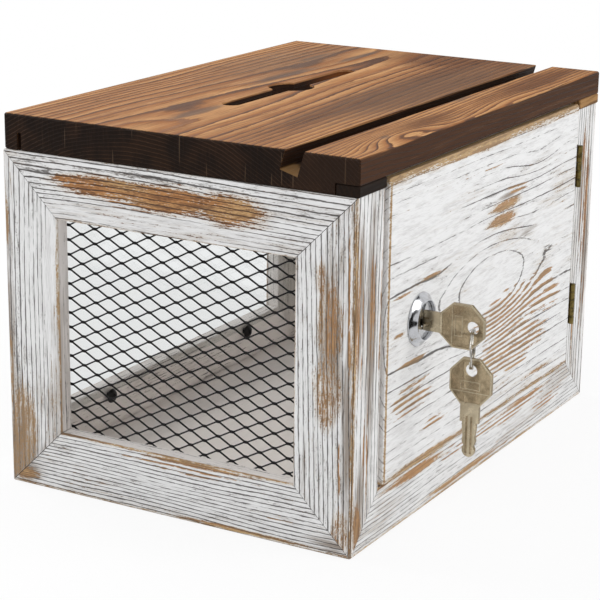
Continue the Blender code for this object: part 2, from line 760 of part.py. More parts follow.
def build_hinges(door, hinge_stile, axis, parts, cutters):
    """Two butt hinges in the gap between the door's edge and the hinge stile."""
    for level, centre_z in HINGE_CENTRES_Z.items():
        name = level + "_hinge"
        middle = PIN_AXIS + UP * centre_z
        build_leaf(name + "_frame_leaf", 1, 0, middle, hinge_stile, None, parts, cutters)
        build_leaf(name + "_door_leaf", -1, 1, middle, door, axis, parts, cutters)
        pin = rod_mesh(name + "_pin", PIN_RADIUS, HINGE_HEIGHT, HINGE_SIDES)
        add_part(name + "_pin", pin, OLD_BRASS, parts, middle)


def build_lock_housing(axis, parts):
    """The lock's cone bezel and barrel, and the nut that clamps the barrel behind the door."""
    opening = LOCK_BARREL_RADIUS
    profile = [
        (opening, BEZEL_HEIGHT),
        (opening + BEZEL_LIP, BEZEL_HEIGHT),
        (BEZEL_RADIUS, GAP + BEZEL_EDGE),
        (BEZEL_RADIUS, GAP),
        (LOCK_BARREL_RADIUS, GAP),
        (LOCK_BARREL_RADIUS, -LOCK_BARREL_LENGTH),
        (PLUG_RADIUS + GAP, -LOCK_BARREL_LENGTH),
        (PLUG_RADIUS + GAP, LOCK_LEDGE),
        (opening, LOCK_LEDGE),
    ]
    housing = turned_mesh("lock_housing", profile, LOCK_SIDES, closed=True)
    rotation = facing(EAST, UP)
    attach(add_part("lock_housing", housing, CHROME, parts, LOCK_CENTRE, rotation), axis)

    corner = NUT_FLATS / 2 / cos(HALF_TURN / NUT_SIDES)
    outlines = [
        circle_points(corner, NUT_SIDES),
        circle_points(LOCK_BARREL_RADIUS + GAP, LOCK_SIDES),
    ]
    nut = flat_mesh("lock_nut", outlines, NUT_THICKNESS)
    centre = LOCK_CENTRE + NORTH * (DOOR_THICKNESS + GAP + NUT_THICKNESS / 2)
    attach(add_part("lock_nut", nut, ZINC, parts, centre, rotation), axis)


def build_plug(axis, parts, cutters):
    """The plug that the key turns: a recessed face, a keyway and a square tail for the cam."""
    head_radius = LOCK_BARREL_RADIUS - GAP
    profile = [
        (0, PLUG_FACE),
        (head_radius, PLUG_FACE),
        (head_radius, LOCK_LEDGE + GAP),
        (PLUG_RADIUS, LOCK_LEDGE + GAP),
        (PLUG_RADIUS, CAM_NEAR_FACE + GAP),
        (0, CAM_NEAR_FACE + GAP),
    ]
    rotation = facing(EAST, UP)
    plug_mesh = turned_mesh("lock_plug", profile, LOCK_SIDES)
    plug = add_part("lock_plug", plug_mesh, CHROME, parts, LOCK_CENTRE, rotation)
    attach(plug, axis)

    half_tail = PLUG_TAIL_SIDE / 2
    tail_low = LOCK_CENTRE + Vector((-half_tail, -CAM_NEAR_FACE - 2 * GAP - PLUG_TAIL_SIDE / 2, -half_tail))
    tail_high = LOCK_CENTRE + Vector((half_tail, -PLUG_TAIL_END, half_tail))
    tail_mesh, tail_centre = block_mesh("plug_tail", tail_low, tail_high)
    combine(plug, place("plug_tail", tail_mesh, cutters, tail_centre), "UNION")

    half_x = KEY_THICKNESS / 2 + KEYWAY_PLAY
    half_z = BLADE_HEIGHT / 2 + KEYWAY_PLAY
    low = LOCK_CENTRE + Vector((-half_x, -PLUG_FACE - CUT_OVERRUN, -half_z))
    high = LOCK_CENTRE + Vector((half_x, KEYWAY_DEPTH - PLUG_FACE, half_z))
    cut_block(plug, "keyway_cutter", low, high, cutters)

    mouth = LOCK_CENTRE - NORTH * PLUG_TAIL_END
    depth = CAM_SCREW_BITE - PLUG_TAIL_SHORTFALL
    drill(plug, mouth, facing(EAST, -UP), CAM_SCREW_RADIUS + GAP, depth, SCREW_SIDES, cutters)


def cam_side_outline():
    """The cam seen along its crank: distance from the lock's axis against lock height."""
    far_top = -DOOR_THICKNESS - CAM_DOOR_CLEARANCE
    rise = far_top - CAM_NEAR_FACE
    bend = CAM_THICKNESS * tan(EIGHTH_TURN / 2)
    start = CAM_CRANK_START
    return [
        (-CAM_WIDTH / 2, CAM_NEAR_FACE),
        (-CAM_WIDTH / 2, CAM_FAR_FACE),
        (start + bend, CAM_FAR_FACE),
        (start + rise + bend, far_top - CAM_THICKNESS),
        (CAM_LENGTH, far_top - CAM_THICKNESS),
        (CAM_LENGTH, far_top),
        (start + rise, far_top),
        (start, CAM_NEAR_FACE),
    ]


def build_cam(axis, parts, cutters):
    """The cranked cam, upright while the lock is open, and the screw that holds it on the tail."""
    cam_mesh = flat_mesh("lock_cam", [cam_side_outline()], CAM_WIDTH + 2 * GAP)
    cam = add_part("lock_cam", cam_mesh, ZINC, parts, LOCK_CENTRE, facing(UP, -NORTH))
    attach(cam, axis)

    radius = CAM_WIDTH / 2
    top = arc_points(radius, 0, HALF_TURN, CAM_END_STEPS, (0, CAM_LENGTH - radius))
    bottom = arc_points(radius, HALF_TURN, FULL_TURN, CAM_END_STEPS)
    plan_depth = 2 * (LOCK_BARREL_LENGTH + CAM_THICKNESS + CUT_OVERRUN)
    plan_mesh = flat_mesh("cam_plan", [top + bottom], plan_depth)
    combine(cam, place("cam_plan", plan_mesh, cutters, LOCK_CENTRE, facing(EAST, UP)), "INTERSECT")

    half_hole = PLUG_TAIL_SIDE / 2 + GAP
    low = LOCK_CENTRE + Vector((-half_hole, -CAM_NEAR_FACE - CUT_OVERRUN, -half_hole))
    high = LOCK_CENTRE + Vector((half_hole, -CAM_FAR_FACE + CUT_OVERRUN, half_hole))
    cut_block(cam, "cam_hole_cutter", low, high, cutters)

    mesh = screw_mesh(
        "cam_screw",
        CAM_SCREW_HEAD_RADIUS,
        CAM_SCREW_HEAD_HEIGHT,
        CAM_SCREW_RADIUS,
        CAM_SCREW_BITE,
        CAM_SCREW_RADIUS,
    )
    seat = LOCK_CENTRE - NORTH * (CAM_FAR_FACE - GAP)
    attach(add_part("cam_screw", mesh, ZINC, parts, seat, facing(EAST, -UP)), axis)


def key_mesh(name):
    """A key along +X from the end of its bow, with a ring hole in the bow."""
    blade_start = BOW_LENGTH + NECK_LENGTH
    half = [
        (0, BOW_END / 2),
        (BOW_CORNER, BOW_HEIGHT / 2),
        (BOW_CORNER + BOW_TOP, BOW_HEIGHT / 2),
        (BOW_LENGTH, NECK_HEIGHT / 2),
        (blade_start, NECK_HEIGHT / 2),
    ]
    for along, across in BLADE_OUTLINE_SHARES:
        half.append((blade_start + along * BLADE_LENGTH, across * BLADE_HEIGHT / 2))
    outline = half + [(x, -y) for x, y in reversed(half)]
    hole = circle_points(KEY_HOLE_RADIUS, KEY_HOLE_SIDES, (KEY_HOLE_INSET, 0))
    return flat_mesh(name, [outline, hole], KEY_THICKNESS)


def build_keys(key_axis, ring_axis, spare_axis, parts):
    """The key in the lock, the split ring through its bow and the spare key on the ring."""
    key_end = Vector((LOCK_CENTRE.x, KEY_END_Y, LOCK_CENTRE.z))
    key = add_part("key", key_mesh("key"), KEY_METAL, parts, key_end, facing(NORTH, UP))
    attach(key, key_axis)

    turns = [QUARTER_TURN - FULL_TURN * step / RING_WIRE_SIDES for step in range(RING_WIRE_SIDES)]
    profile = [
        (RING_RADIUS + RING_WIRE_RADIUS * cos(turn), RING_WIRE_RADIUS * sin(turn)) for turn in turns
    ]
    ring_mesh = turned_mesh("split_ring", profile, RING_STEPS, closed=True)
    centre = (RING_TOP + RING_BOTTOM) / 2
    across = Vector((cos(RING_YAW), sin(RING_YAW), 0))
    ring = add_part("split_ring", ring_mesh, CHROME, parts, centre, facing(across, UP))
    attach(ring, ring_axis)

    mesh = key_mesh("spare_key")
    spare = add_part("spare_key", mesh, KEY_METAL, parts, SPARE_END, facing(-UP, NORTH))
    attach(spare, spare_axis)


def build_model():
    """Make every sub-part and hang the moving ones on their joints' axes."""
    clear_scene()
    parts = new_collection("Ballot box")
    cutters = new_collection("Cutters")
    ends = {}
    for side, turn, stiles in (
        ("left_end", -QUARTER_TURN, ("window_stile", "door_stile")),
        ("right_end", QUARTER_TURN, ("door_stile", "window_stile")),
    ):
        rails = ("bottom_rail", "top_rail")
        members = build_wall(
            side, turn, HALF_WIDTH, HALF_LENGTH, WINDOW_MEMBER, rails, stiles, WHITEWASH, parts
        )
        ends[side] = (turn, [members[name] for name in rails + stiles])
    window_side = build_wall(
        "window_side",
        HALF_TURN,
        HALF_LENGTH,
        HALF_WIDTH,
        WINDOW_MEMBER,
        ("bottom_rail", "top_rail"),
        ("right_stile", "left_stile"),
        WHITEWASH,
        parts,
    )
    door_side = build_wall(
        "door_side",
        0,
        HALF_LENGTH,
        HALF_WIDTH,
        DOOR_MEMBER,
        ("bottom_rail",),
        ("lock_stile", "hinge_stile"),
        WHITEWASH,
        parts,
    )
    build_base(parts)
    build_lid(parts, cutters)
    build_lid_end_blocks(parts)
    for side, (turn, members) in ends.items():
        build_net(side, turn, members, parts, cutters)
    pane_axis = axis_empty("pane_lift", parts, (0, PANE_OUTER_Y, PANE_LOW_Z))
    build_pane(window_side["bottom_rail"], pane_axis, parts, cutters)

    door_axis = axis_empty("door_swing", parts, PIN_AXIS)
    lock_axis = axis_empty("lock_turn", parts, LOCK_CENTRE, door_axis)
    key_axis = axis_empty("key_slide", parts, LOCK_CENTRE, lock_axis)
    ring_axis = axis_empty("ring_swing", parts, RING_TOP, key_axis)
    spare_axis = axis_empty("spare_key_swing", parts, RING_BOTTOM, ring_axis)
    door = build_door(door_axis, parts, cutters)
    build_hinges(door, door_side["hinge_stile"], door_axis, parts, cutters)
    build_lock_housing(door_axis, parts)
    build_plug(lock_axis, parts, cutters)
    build_cam(lock_axis, parts, cutters)
    build_keys(key_axis, ring_axis, spare_axis, parts)


if __name__ == "__main__":
    build_model()
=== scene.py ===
from math import cos, pi, radians, sin

import bmesh
import bpy
from mathutils import Euler, Matrix, Vector


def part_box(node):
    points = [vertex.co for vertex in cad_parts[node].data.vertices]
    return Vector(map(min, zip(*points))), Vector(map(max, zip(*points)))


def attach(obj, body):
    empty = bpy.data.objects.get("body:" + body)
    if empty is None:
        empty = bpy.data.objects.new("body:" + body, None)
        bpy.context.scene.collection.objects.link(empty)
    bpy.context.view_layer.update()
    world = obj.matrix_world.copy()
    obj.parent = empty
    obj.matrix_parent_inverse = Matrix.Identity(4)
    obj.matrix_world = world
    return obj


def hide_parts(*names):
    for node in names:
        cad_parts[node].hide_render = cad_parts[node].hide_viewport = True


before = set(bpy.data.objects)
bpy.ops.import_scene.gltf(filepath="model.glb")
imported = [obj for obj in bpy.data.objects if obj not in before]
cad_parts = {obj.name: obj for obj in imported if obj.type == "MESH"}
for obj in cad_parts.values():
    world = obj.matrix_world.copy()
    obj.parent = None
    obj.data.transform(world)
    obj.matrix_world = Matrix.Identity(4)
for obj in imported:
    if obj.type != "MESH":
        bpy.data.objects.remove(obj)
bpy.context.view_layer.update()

bl_info = {
    "name": "Ballot box dresser",
    "version": (1, 0, 0),
    "blender": (4, 5, 0),
    "location": "3D View > Sidebar > Ballot Box",
    "description": "Gives the packed ballot box its finishes, mesh, lock, keys and studio",
    "category": "Object",
}

MM = 0.001
QUARTER_TURN = pi / 2
FULL_TURN = 2 * pi
AXES = "XYZ"


def screen(red, green, blue):
    """A colour as a picture shows it, 0 to 255, as the linear colour a shader takes."""
    linear = []
    for share in (red / 255, green / 255, blue / 255):
        linear.append(share / 12.92 if share <= 0.04045 else ((share + 0.055) / 1.055) ** 2.4)
    return tuple(linear)


def colour_property(name, description, *colour):
    """A colour that a user can change, its default given as a picture shows it."""
    return bpy.props.FloatVectorProperty(
        name=name, description=description, subtype="COLOR", size=3, min=0, max=1, default=screen(*colour)
    )


def length_property(name, description, millimetres):
    """A length that a user can change, its default given in millimetres."""
    default = millimetres * MM
    return bpy.props.FloatProperty(
        name=name, description=description, default=default, min=0, subtype="DISTANCE", unit="LENGTH"
    )


class BALLOT_BOX_PG_wood(bpy.types.PropertyGroup):
    """Colours of the painted, brushed and scorched pine."""

    paint: colour_property("Whitewash", "Where the paint covers the pine", 232, 232, 231)
    # Inside paint: plainer, warmer paint, made lighter than the outside's as painted light that lifts the
    # shade inside the box.
    paint_and_light_inside: colour_property("Whitewash and painted light inside", "Plain paint inside the box, lightened as painted light for its shade", 249, 243, 238)
    paint_line: colour_property("Brushed line", "Grain lines the wire brush bared", 66, 61, 58)
    pine_early: colour_property("Bare pine", "Soft wood between the rings", 184, 130, 78)
    pine_late: colour_property("Bare pine rings", "Hard rings in a scraped place", 114, 74, 44)
    pine_edge: colour_property("Bare pine edge", "Worn edges of rails, stiles and door", 214, 184, 132)
    lid_early: colour_property("Scorched pine", "Soft wood of the lid", 216, 162, 106)
    lid_late: colour_property("Scorched rings", "Hard rings of the lid", 82, 48, 27)
    lid_end: colour_property("Scorched end grain", "Sawn ends of the lid", 24, 14, 8)


class BALLOT_BOX_PG_metal(bpy.types.PropertyGroup):
    """Colours of the metal pieces and the pane."""

    wire: colour_property("Mesh wire", "Black coating of the diamond mesh", 17, 17, 18)
    brass: colour_property("Old brass", "Hinges and their screws", 122, 107, 64)
    chrome: colour_property("Chrome", "Lock face and plug", 190, 191, 194)
    zinc: colour_property("Zinc", "Nut, cam and staples", 190, 190, 186)
    keys: colour_property("Key metal", "Nickel plate of the keys", 176, 159, 130)
    pane: colour_property("Pane", "Clear plastic pane", 245, 246, 246)


class BALLOT_BOX_PG_sizes(bpy.types.PropertyGroup):
    """Sizes of the pieces made here."""

    pitch_across: length_property("Mesh pitch across", "Width of one diamond", 16.0)
    pitch_up: length_property("Mesh pitch up", "Height of one diamond", 7.6)
    wire_radius: length_property("Wire radius", "Half the thickness of a strand", 0.42)
    knot_length: length_property("Knot length", "Run where two strands lie together", 2.4)
    ring_wire: length_property("Ring wire", "Thickness of one turn of the split ring", 0.86)
    rim_width: length_property("Key rim", "Width of the raised rim round a key's bow", 0.9)


def arithmetic(operation, swapped=False):
    """An operator that adds a Math node to a link's tree."""

    def apply(link, other):
        first, second = (other, link) if swapped else (link, other)
        return link.tree.maths(operation, first, second)

    return apply


class Link:
    """An output socket of a node tree. Arithmetic on it adds Math nodes."""

    __add__ = arithmetic("ADD")
    __radd__ = arithmetic("ADD", True)
    __sub__ = arithmetic("SUBTRACT")
    __rsub__ = arithmetic("SUBTRACT", True)
    __mul__ = arithmetic("MULTIPLY")
    __rmul__ = arithmetic("MULTIPLY", True)
    __truediv__ = arithmetic("DIVIDE")
    __pow__ = arithmetic("POWER")

    def __init__(self, tree, socket):
        self.tree = tree
        self.socket = socket


class Tree:
    """A node tree being built, for a material or for Geometry Nodes."""

    def __init__(self, nodes):
        self.nodes = nodes

    def node(self, kind, settings=None, inputs=None, output=0):
        """Add a node, its settings first, then the values or links of its sockets, and give its output."""
        made = self.nodes.nodes.new(kind)
        for name, value in (settings or {}).items():
            setattr(made, name, value)
        for key, value in (inputs or {}).items():
            if isinstance(value, Link):
                self.nodes.links.new(value.socket, made.inputs[key])
            else:
                made.inputs[key].default_value = value
        return Link(self, made.outputs[output]) if made.outputs else made

    def maths(self, operation, *values):
        """Add a Math node."""
        return self.node("ShaderNodeMath", {"operation": operation}, dict(enumerate(values)))

    def highest(self, first, second):
        """The greater of two values, or the second where there is no first."""
        return second if first is None else self.maths("MAXIMUM", first, second)

    def size_of(self, value):
        """A value without its sign."""
        return self.maths("ABSOLUTE", value)

    def vector(self, x=0.0, y=0.0, z=0.0):
        """A vector from three numbers or links."""
        return self.node("ShaderNodeCombineXYZ", None, {0: x, 1: y, 2: z})

    def rise(self, value, low, high, bottom=0.0, top=1.0):
        """Go smoothly from bottom to top as a value goes from low to high."""
        inputs = {0: value, 1: low, 2: high, 3: bottom, 4: top}
        return self.node("ShaderNodeMapRange", {"interpolation_type": "SMOOTHSTEP"}, inputs)

    def blend(self, factor, first, second, kind="MIX"):
        """Mix two colours."""
        settings = {"data_type": "RGBA", "blend_type": kind}
        return self.node("ShaderNodeMix", settings, {0: factor, 6: full(first), 7: full(second)}, 2)

    def coats(self, base, *coats):
        """Lay colours over a base one by one.

        A coat is its colour and its cover, or its colour, a value, the two levels between which the
        cover rises with that value, and the most that it reaches.
        """
        for colour, cover, *span in coats:
            if span:
                low, high, most = span
                cover = self.rise(cover, low, high, 0.0, most)
            base = self.blend(cover, base, colour)
        return base

    def scaled(self, place, stretch, shift=(0, 0, 0)):
        """A place stretched and moved."""
        settings = {"operation": "MULTIPLY_ADD"}
        return self.node("ShaderNodeVectorMath", settings, {0: place, 1: stretch, 2: shift})

    def length(self, place):
        """How far a place is from the origin."""
        return self.node("ShaderNodeVectorMath", {"operation": "LENGTH"}, {0: place}, 1)

    def noise(self, place, stretch, shift=(0, 0, 0), detail=2.0, roughness=0.5):
        """Soft noise about zero, its lumps stretched along the axes."""
        inputs = {"Vector": self.scaled(place, stretch, shift), "Scale": 1.0, "Detail": detail}
        inputs["Roughness"] = roughness
        return self.node("ShaderNodeTexNoise", None, inputs) - 0.5

    def axes(self, place):
        """The X, Y and Z of a place."""
        split = self.node("ShaderNodeSeparateXYZ", None, {0: place})
        return [Link(self, socket) for socket in split.socket.node.outputs]

    def spot(self, place, centre, reach):
        """One in the middle of an ellipsoid, falling through zero at its edge."""
        stretch = tuple(1 / size if size else 0 for size in reach)
        shift = tuple(-middle * share for middle, share in zip(centre, stretch))
        return 1 - self.length(self.scaled(place, stretch, shift))

    def spots(self, place, marks):
        """The strongest of several spots."""
        total = None
        for centre, reach, strength in marks:
            total = self.highest(total, self.spot(place, centre, reach) + (strength - 1))
        return total


def full(colour):
    """A colour with its alpha, or a link as it is."""
    return colour if isinstance(colour, Link) else (*colour[:3], 1.0)


def new_finish(name):
    """An empty material with its tree, and the place on the object in millimetres."""
    material = bpy.data.materials.new(name)
    material.use_nodes = True
    material.node_tree.nodes.clear()
    tree = Tree(material.node_tree)
    place = tree.node("ShaderNodeTexCoord", output=3)
    return material, tree, tree.scaled(place, (1 / MM, 1 / MM, 1 / MM))


def surface(tree, colour, roughness, height, strength, metallic=0.0, gloss=0.5):
    """End a tree in a Principled shader, raised by a height in millimetres times a strength."""
    normal = tree.node("ShaderNodeBump", None, {"Strength": strength, "Distance": MM, "Height": height})
    shader = tree.node("ShaderNodeBsdfPrincipled", None, {
        "Base Color": colour, "Roughness": roughness, "Normal": normal, "Metallic": metallic,
        "Specular IOR Level": gloss,
    })
    tree.node("ShaderNodeOutputMaterial", None, {0: shader})


def assign(material, *names):
    """Put a finish on CAD nodes."""
    for name in names:
        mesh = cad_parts[name].data
        mesh.materials.clear()
        mesh.materials.append(material)


def settings_of(group):
    """The wood colours, metal colours or sizes of this scene."""
    return getattr(bpy.context.scene, "ballot_box_" + group)


def along(grain, length, across):
    """A stretch for noise: one value along the grain, another across it."""
    return tuple(length if axis == grain else across for axis in AXES)


def lumps(axis, marks, level=0, reach=0):
    """Marks on a face as ellipsoids: their centre, their reach and a strength.

    A mark is five numbers: its place on the face and its reach, each by the face's two axes in
    millimetres, and its strength. The axis is the face's own, with its level and its reach.
    """
    spread = []
    for first, second, wide, tall, strength in marks:
        centre, size = [first, second], [wide, tall]
        centre.insert(AXES.index(axis), level)
        size.insert(AXES.index(axis), reach)
        spread.append((centre, size, strength))
    return spread


def rings(tree, place, grain, pith, spacing, wobble, bulges, seed):
    """How far through a year's ring each place of a board is, from 0 to 1, and a chance value for the ring.

    The pith is a line along the grain, given by its two other coordinates and their drift per
    millimetre. A bulge lifts the rings, so that they close round it on the board's face.
    """
    parts = dict(zip(AXES, tree.axes(place)))
    length = parts.pop(grain)
    squares = []
    for part, centre, drift in zip(parts.values(), pith[:2], pith[2:]):
        offset = part - centre - length * drift if drift else part - centre
        squares.append(offset * offset)
    radius = (squares[0] + squares[1]) ** 0.5
    slow = tree.noise(place, along(grain, 0.006, 0.03), (seed, 0, 0), 1.0)
    quick = tree.noise(place, along(grain, 0.035, 0.22), (0, seed, 0), 2.0)
    ragged = tree.noise(place, along(grain, 0.14, 1.1), (0, 0, seed), 2.0, 0.6)
    radius = radius + slow * (wobble * 4) + quick * (wobble * 0.55) + ragged * (wobble * 0.42)
    for centre, reach, height in bulges:
        radius = radius + tree.rise(tree.spot(place, centre, reach), 0.0, 1.0, 0.0, height)
    turns = radius / spacing
    whole = tree.maths("FLOOR", turns)
    chance = tree.node("ShaderNodeTexWhiteNoise", {"noise_dimensions": "1D"}, {"W": whole})
    return tree.maths("FRACT", turns), chance - 0.5


def late_wood(tree, share, spacing, width):
    """The hard dark part of a ring, a width in millimetres: it comes slowly and stops at once."""
    start = tree.rise(share, 1 - 1.7 * width / spacing, 1 - 0.7 * width / spacing)
    return start * tree.rise(share, 0.95, 1.0, 1.0, 0.0)


def plank_edges(tree, place, edges):
    """One on a board's worn edges, falling through zero where their wear ends.

    Each edge is its axis, its coordinate and the width of the wear.
    """
    parts = dict(zip(AXES, tree.axes(place)))
    total = None
    for axis, edge, width in edges:
        total = tree.highest(total, 1 - tree.size_of(parts[axis] - edge) / width)
    return total


# What a whitewashed board has unless its own look says otherwise, widths and places in millimetres.
# Bulges lift the rings, line_marks are brushed harder and calm_marks less, scrapes are bared,
# streaked places are bared ring by ring and soiled ones are dirty.
PLAIN_LOOK = dict(
    wobble=1.2, line_width=0.42, lined=0.5, grit=0.5, worn=0.0, combed=0.0, scraped=1.05, faded=0.0,
    grime=0.25, streaking=0.42, edge_wear=0.9, edges=(("Z", -50.0, 1.0),),
    bulges=(), line_marks=(), calm_marks=(), scrapes=(), streaked=(), soiled=(),
)

GREY_FIBRE = screen(128, 122, 118)
THIN_PAINT = screen(196, 178, 150)
GRIME = screen(132, 118, 104)
SPECK = screen(104, 96, 90)
PINE_STREAK = screen(98, 64, 42)
PINE_LINE = screen(70, 50, 38)
FADED_PINE = screen(172, 146, 112)


def whitewash(name, grain, face, look):
    """Paint a pine board white, brushed along its rings with wire and scraped through in places."""
    wood = settings_of("wood")
    material, tree, place = new_finish("Whitewash " + name)
    look = {**PLAIN_LOOK, **look}
    seed, spacing, combed = look["seed"], look["spacing"], look["combed"]
    axis, plane, depth = face

    def fibres(length, across, shift, detail=3.0, roughness=0.5):
        return tree.noise(place, along(grain, length, across), shift, detail, roughness)

    def marked(kind):
        return tree.spots(place, lumps(axis, look[kind]))

    bulges = lumps(axis, look["bulges"])
    share, chance = rings(tree, place, grain, look["pith"], spacing, look["wobble"], bulges, seed)
    late = late_wood(tree, share, spacing, look["line_width"])
    broad = fibres(0.012, 0.05, (seed, seed, 0))
    streak = fibres(0.045, 0.8, (0, seed, seed), 3.0, 0.62)
    fibre = fibres(0.16, 3.0, (seed, 0, seed), 2.0, 0.6)
    dash = fibres(0.06, 0.45, (seed, 2 * seed, 0), 3.0, 0.65)
    flake = fibres(0.34, 2.3, (seed, 0, 3), 3.0, 0.7)
    stripe = fibres(0.014, 0.62, (seed, 1, 2), 1.0)
    tone = fibres(0.02, 0.12, (seed, 5, seed))
    grit = fibres(1.1, 1.5, (2, seed, 1), 2.0, 0.7) * look["grit"]
    from_face = tree.size_of(tree.axes(place)[AXES.index(axis)] - plane)
    outside = tree.rise(from_face, depth, depth + 1.2, 1.0, 0.0)

    lined = look["lined"] - 0.5 + broad * 0.9 + chance * 0.35
    if look["line_marks"]:
        lined = lined + tree.rise(marked("line_marks"), 0.0, 0.5, 0.0, 0.35)
    calm = 0.0
    if look["calm_marks"]:
        calm = tree.rise(marked("calm_marks"), 0.0, 0.5)
        lined = lined - calm * 0.6
    force = lined + dash * 1.3 + fibre * 1.1
    line = tree.rise(late + force - (1 - outside) * 0.45, 0.62, 0.95) * (1 - calm * 0.45)
    specks = tree.rise(flake * 1.5 + dash + streak * 0.7 + lined * 0.35 + grit * 0.7, 0.26, 0.42)

    worn = broad * 1.6 + look["worn"]
    if look["scrapes"]:
        worn = tree.highest(worn, tree.maths("MINIMUM", marked("scrapes") * 1.7, look["scraped"]))
    edge = plank_edges(tree, place, look["edges"])
    worn = tree.highest(worn, edge * look["edge_wear"])
    ragged = worn + streak * 1.3 + flake * 2.0 + (late - 0.3) * 0.25 + grit
    bare = tree.rise(ragged + fibre * combed + stripe * combed * 0.5, 0.52, 0.64)
    if look["streaked"]:
        fine = tree.maths("FRACT", share * max(1, round(spacing / 1.9)))
        band = tree.rise(fine, 0.3, 0.6) * tree.rise(fine, 0.92, 1.0, 1.0, 0.0)
        zone = tree.rise(marked("streaked"), 0.0, 0.7, 0.0, look["streaking"])
        scratched = band * 0.42 + zone + dash * 0.9 + flake * 0.45 + stripe * 0.6
        bare = tree.highest(bare, tree.rise(scratched, 0.68, 0.80))
    bare = bare * outside
    thin = tree.rise(worn + streak * 1.3, 0.1, 0.6) * outside

    pine = tree.coats(
        wood.pine_early,
        (wood.pine_edge, tone, -0.08, 0.20, 0.55),
        (wood.pine_edge, tree.rise(edge, 0.1, 0.6) * 0.7),
        (wood.pine_late, late * tree.rise(dash, -0.2, 0.05, 0.35, 1.0)),
        (wood.pine_late, fibre, -0.06, 0.16, 0.55),
    )
    if combed:
        streaks = (PINE_STREAK, streak + flake * 0.8, -0.06, 0.12, 0.75)
        pine = tree.coats(pine, streaks, (PINE_LINE, line * 0.8))
    if look["faded"]:
        pine = tree.blend(look["faded"], pine, FADED_PINE)

    soil = tree.rise(broad + streak * 0.6, -0.02, 0.22, 0.0, look["grime"])
    if look["soiled"]:
        soil = tree.highest(soil, tree.rise(marked("soiled") + streak * 1.3, 0.1, 0.8, 0.0, 0.85) * outside)
    colour = tree.coats(
        wood.paint,
        (GREY_FIBRE, fibre + dash, -0.10, 0.25, 0.26),
        # Faces inside the box take the lighter inside paint, which is partly painted light for their shade.
        (wood.paint_and_light_inside, (1 - outside) * 0.8),
        (THIN_PAINT, thin * 0.34),
        (GRIME, soil),
        (SPECK, specks * 0.75),
        (wood.paint_line, line * 0.9),
        (pine, bare),
    )
    height = late * 0.14 - line * 0.12 - specks * 0.05 + fibre * 0.10 + streak * 0.08 - bare * 0.08
    surface(tree, colour, tree.rise(bare + line, 0.0, 1.0, 0.78, 0.62), height, 0.8, gloss=0.3)
    assign(material, name)


# A board's face: the axis that goes through it, its place on that axis and how far its wear reaches in.
LEFT_FACE = ("X", -144.0, 0.5)
FRONT_FACE = ("Y", -100.0, 0.5)
DOOR_FACE = ("Y", -102.0, 4.0)
UNDERSIDE = ("Z", 0.0, 0.5)

# The boards that the photograph shows: the grain's axis and the look, with the pith as rings()
# takes it, the edges as plank_edges() takes them and every mark as lumps() takes it.
LEFT_END_BOARDS = {
    "left_end_top_rail": ("Y", dict(
        pith=(-40, 260, 0.002, 0.01), spacing=1.8, seed=3.1, line_width=0.36, lined=0.62, combed=0.8,
        grime=0.16, edge_wear=0.66, edges=(("Z", 143.9, 1.6), ("Z", 176.2, 1.4)),
        line_marks=((85, 162, 30, 15, 1.0), (0, 171, 80, 3, 1.0)),
        calm_marks=((10, 149.0, 90, 6.0, 1.0),),
        scrapes=(
            (38, 163.6, 44, 8.2, 1.0), (-32, 161.6, 30, 11.6, 1.0), (2, 162, 40, 10.2, 1.0),
            (62, 165, 16, 4.0, 0.9),
        ),
        streaked=((6, 162, 80, 11, 1.0),),
    )),
    "left_end_bottom_rail": ("Y", dict(
        pith=(30, -170, 0.004, 0.012), spacing=1.5, seed=7.7, line_width=0.36, lined=0.6, combed=0.8,
        faded=0.3, grime=0.12, edge_wear=0.85, edges=(("Z", 31.8, 1.8), ("Z", 0.0, 2.4)),
        scrapes=((-40, 1.6, 62, 2.0, 0.9), (-16, 30.4, 52, 1.8, 0.9), (92, 6, 16, 7, 0.8)),
        streaked=((-5, 27, 64, 4.5, 0.95), (-60, 12, 30, 8, 0.6)),
        soiled=((92, 8, 20, 14, 0.9), (-92, 6, 30, 9, 0.8)),
    )),
    "left_end_window_stile": ("Z", dict(
        pith=(-20, 250, 0.0, -0.012), spacing=2.2, seed=12.3, lined=0.52, grit=1.1, combed=1.4,
        scraped=0.72, faded=0.6, grime=0.4, edge_wear=0.72, edges=(("Y", 100.0, 1.2), ("Y", 68.0, 1.3)),
        line_marks=((93, 60, 9, 120, 1.0),),
        calm_marks=((72, 100, 6, 70, 0.9),),
        scrapes=(
            (99, 140, 2.4, 22, 0.8), (68.5, 110, 1.3, 40, 0.9), (96, 14, 7, 22, 0.85), (99, 60, 3, 40, 0.8),
            (92, 30, 11, 34, 0.95),
        ),
        soiled=((96, 14, 18, 40, 1.1), (100, 90, 8, 90, 0.9), (78, 14, 16, 20, 0.8)),
    )),
    "left_end_door_stile": ("Z", dict(
        pith=(-30, -230, 0.0, 0.02), spacing=2.1, seed=21.9, lined=0.6, grit=1.3, combed=1.6, scraped=0.66,
        faded=0.3, edge_wear=0.85, edges=(("Y", -100.0, 2.6), ("Y", -68.0, 1.2)),
        scrapes=(
            (-87, 116, 10.0, 28, 0.95), (-86, 82, 10.0, 26, 0.95), (-82, 136, 4.5, 12, 0.9),
            (-99.4, 128, 2.2, 64, 0.9), (-99.5, 40, 1.8, 50, 0.8), (-94, 12, 7, 18, 0.9),
        ),
        streaked=((-87, 112, 8, 56, 0.8), (-97, 120, 4, 75, 0.9), (-92, 40, 8, 40, 0.7)),
        soiled=((-88, 112, 13, 66, 0.9), (-97, 60, 6, 90, 0.9), (-74, 40, 6, 50, 0.5)),
    )),
}

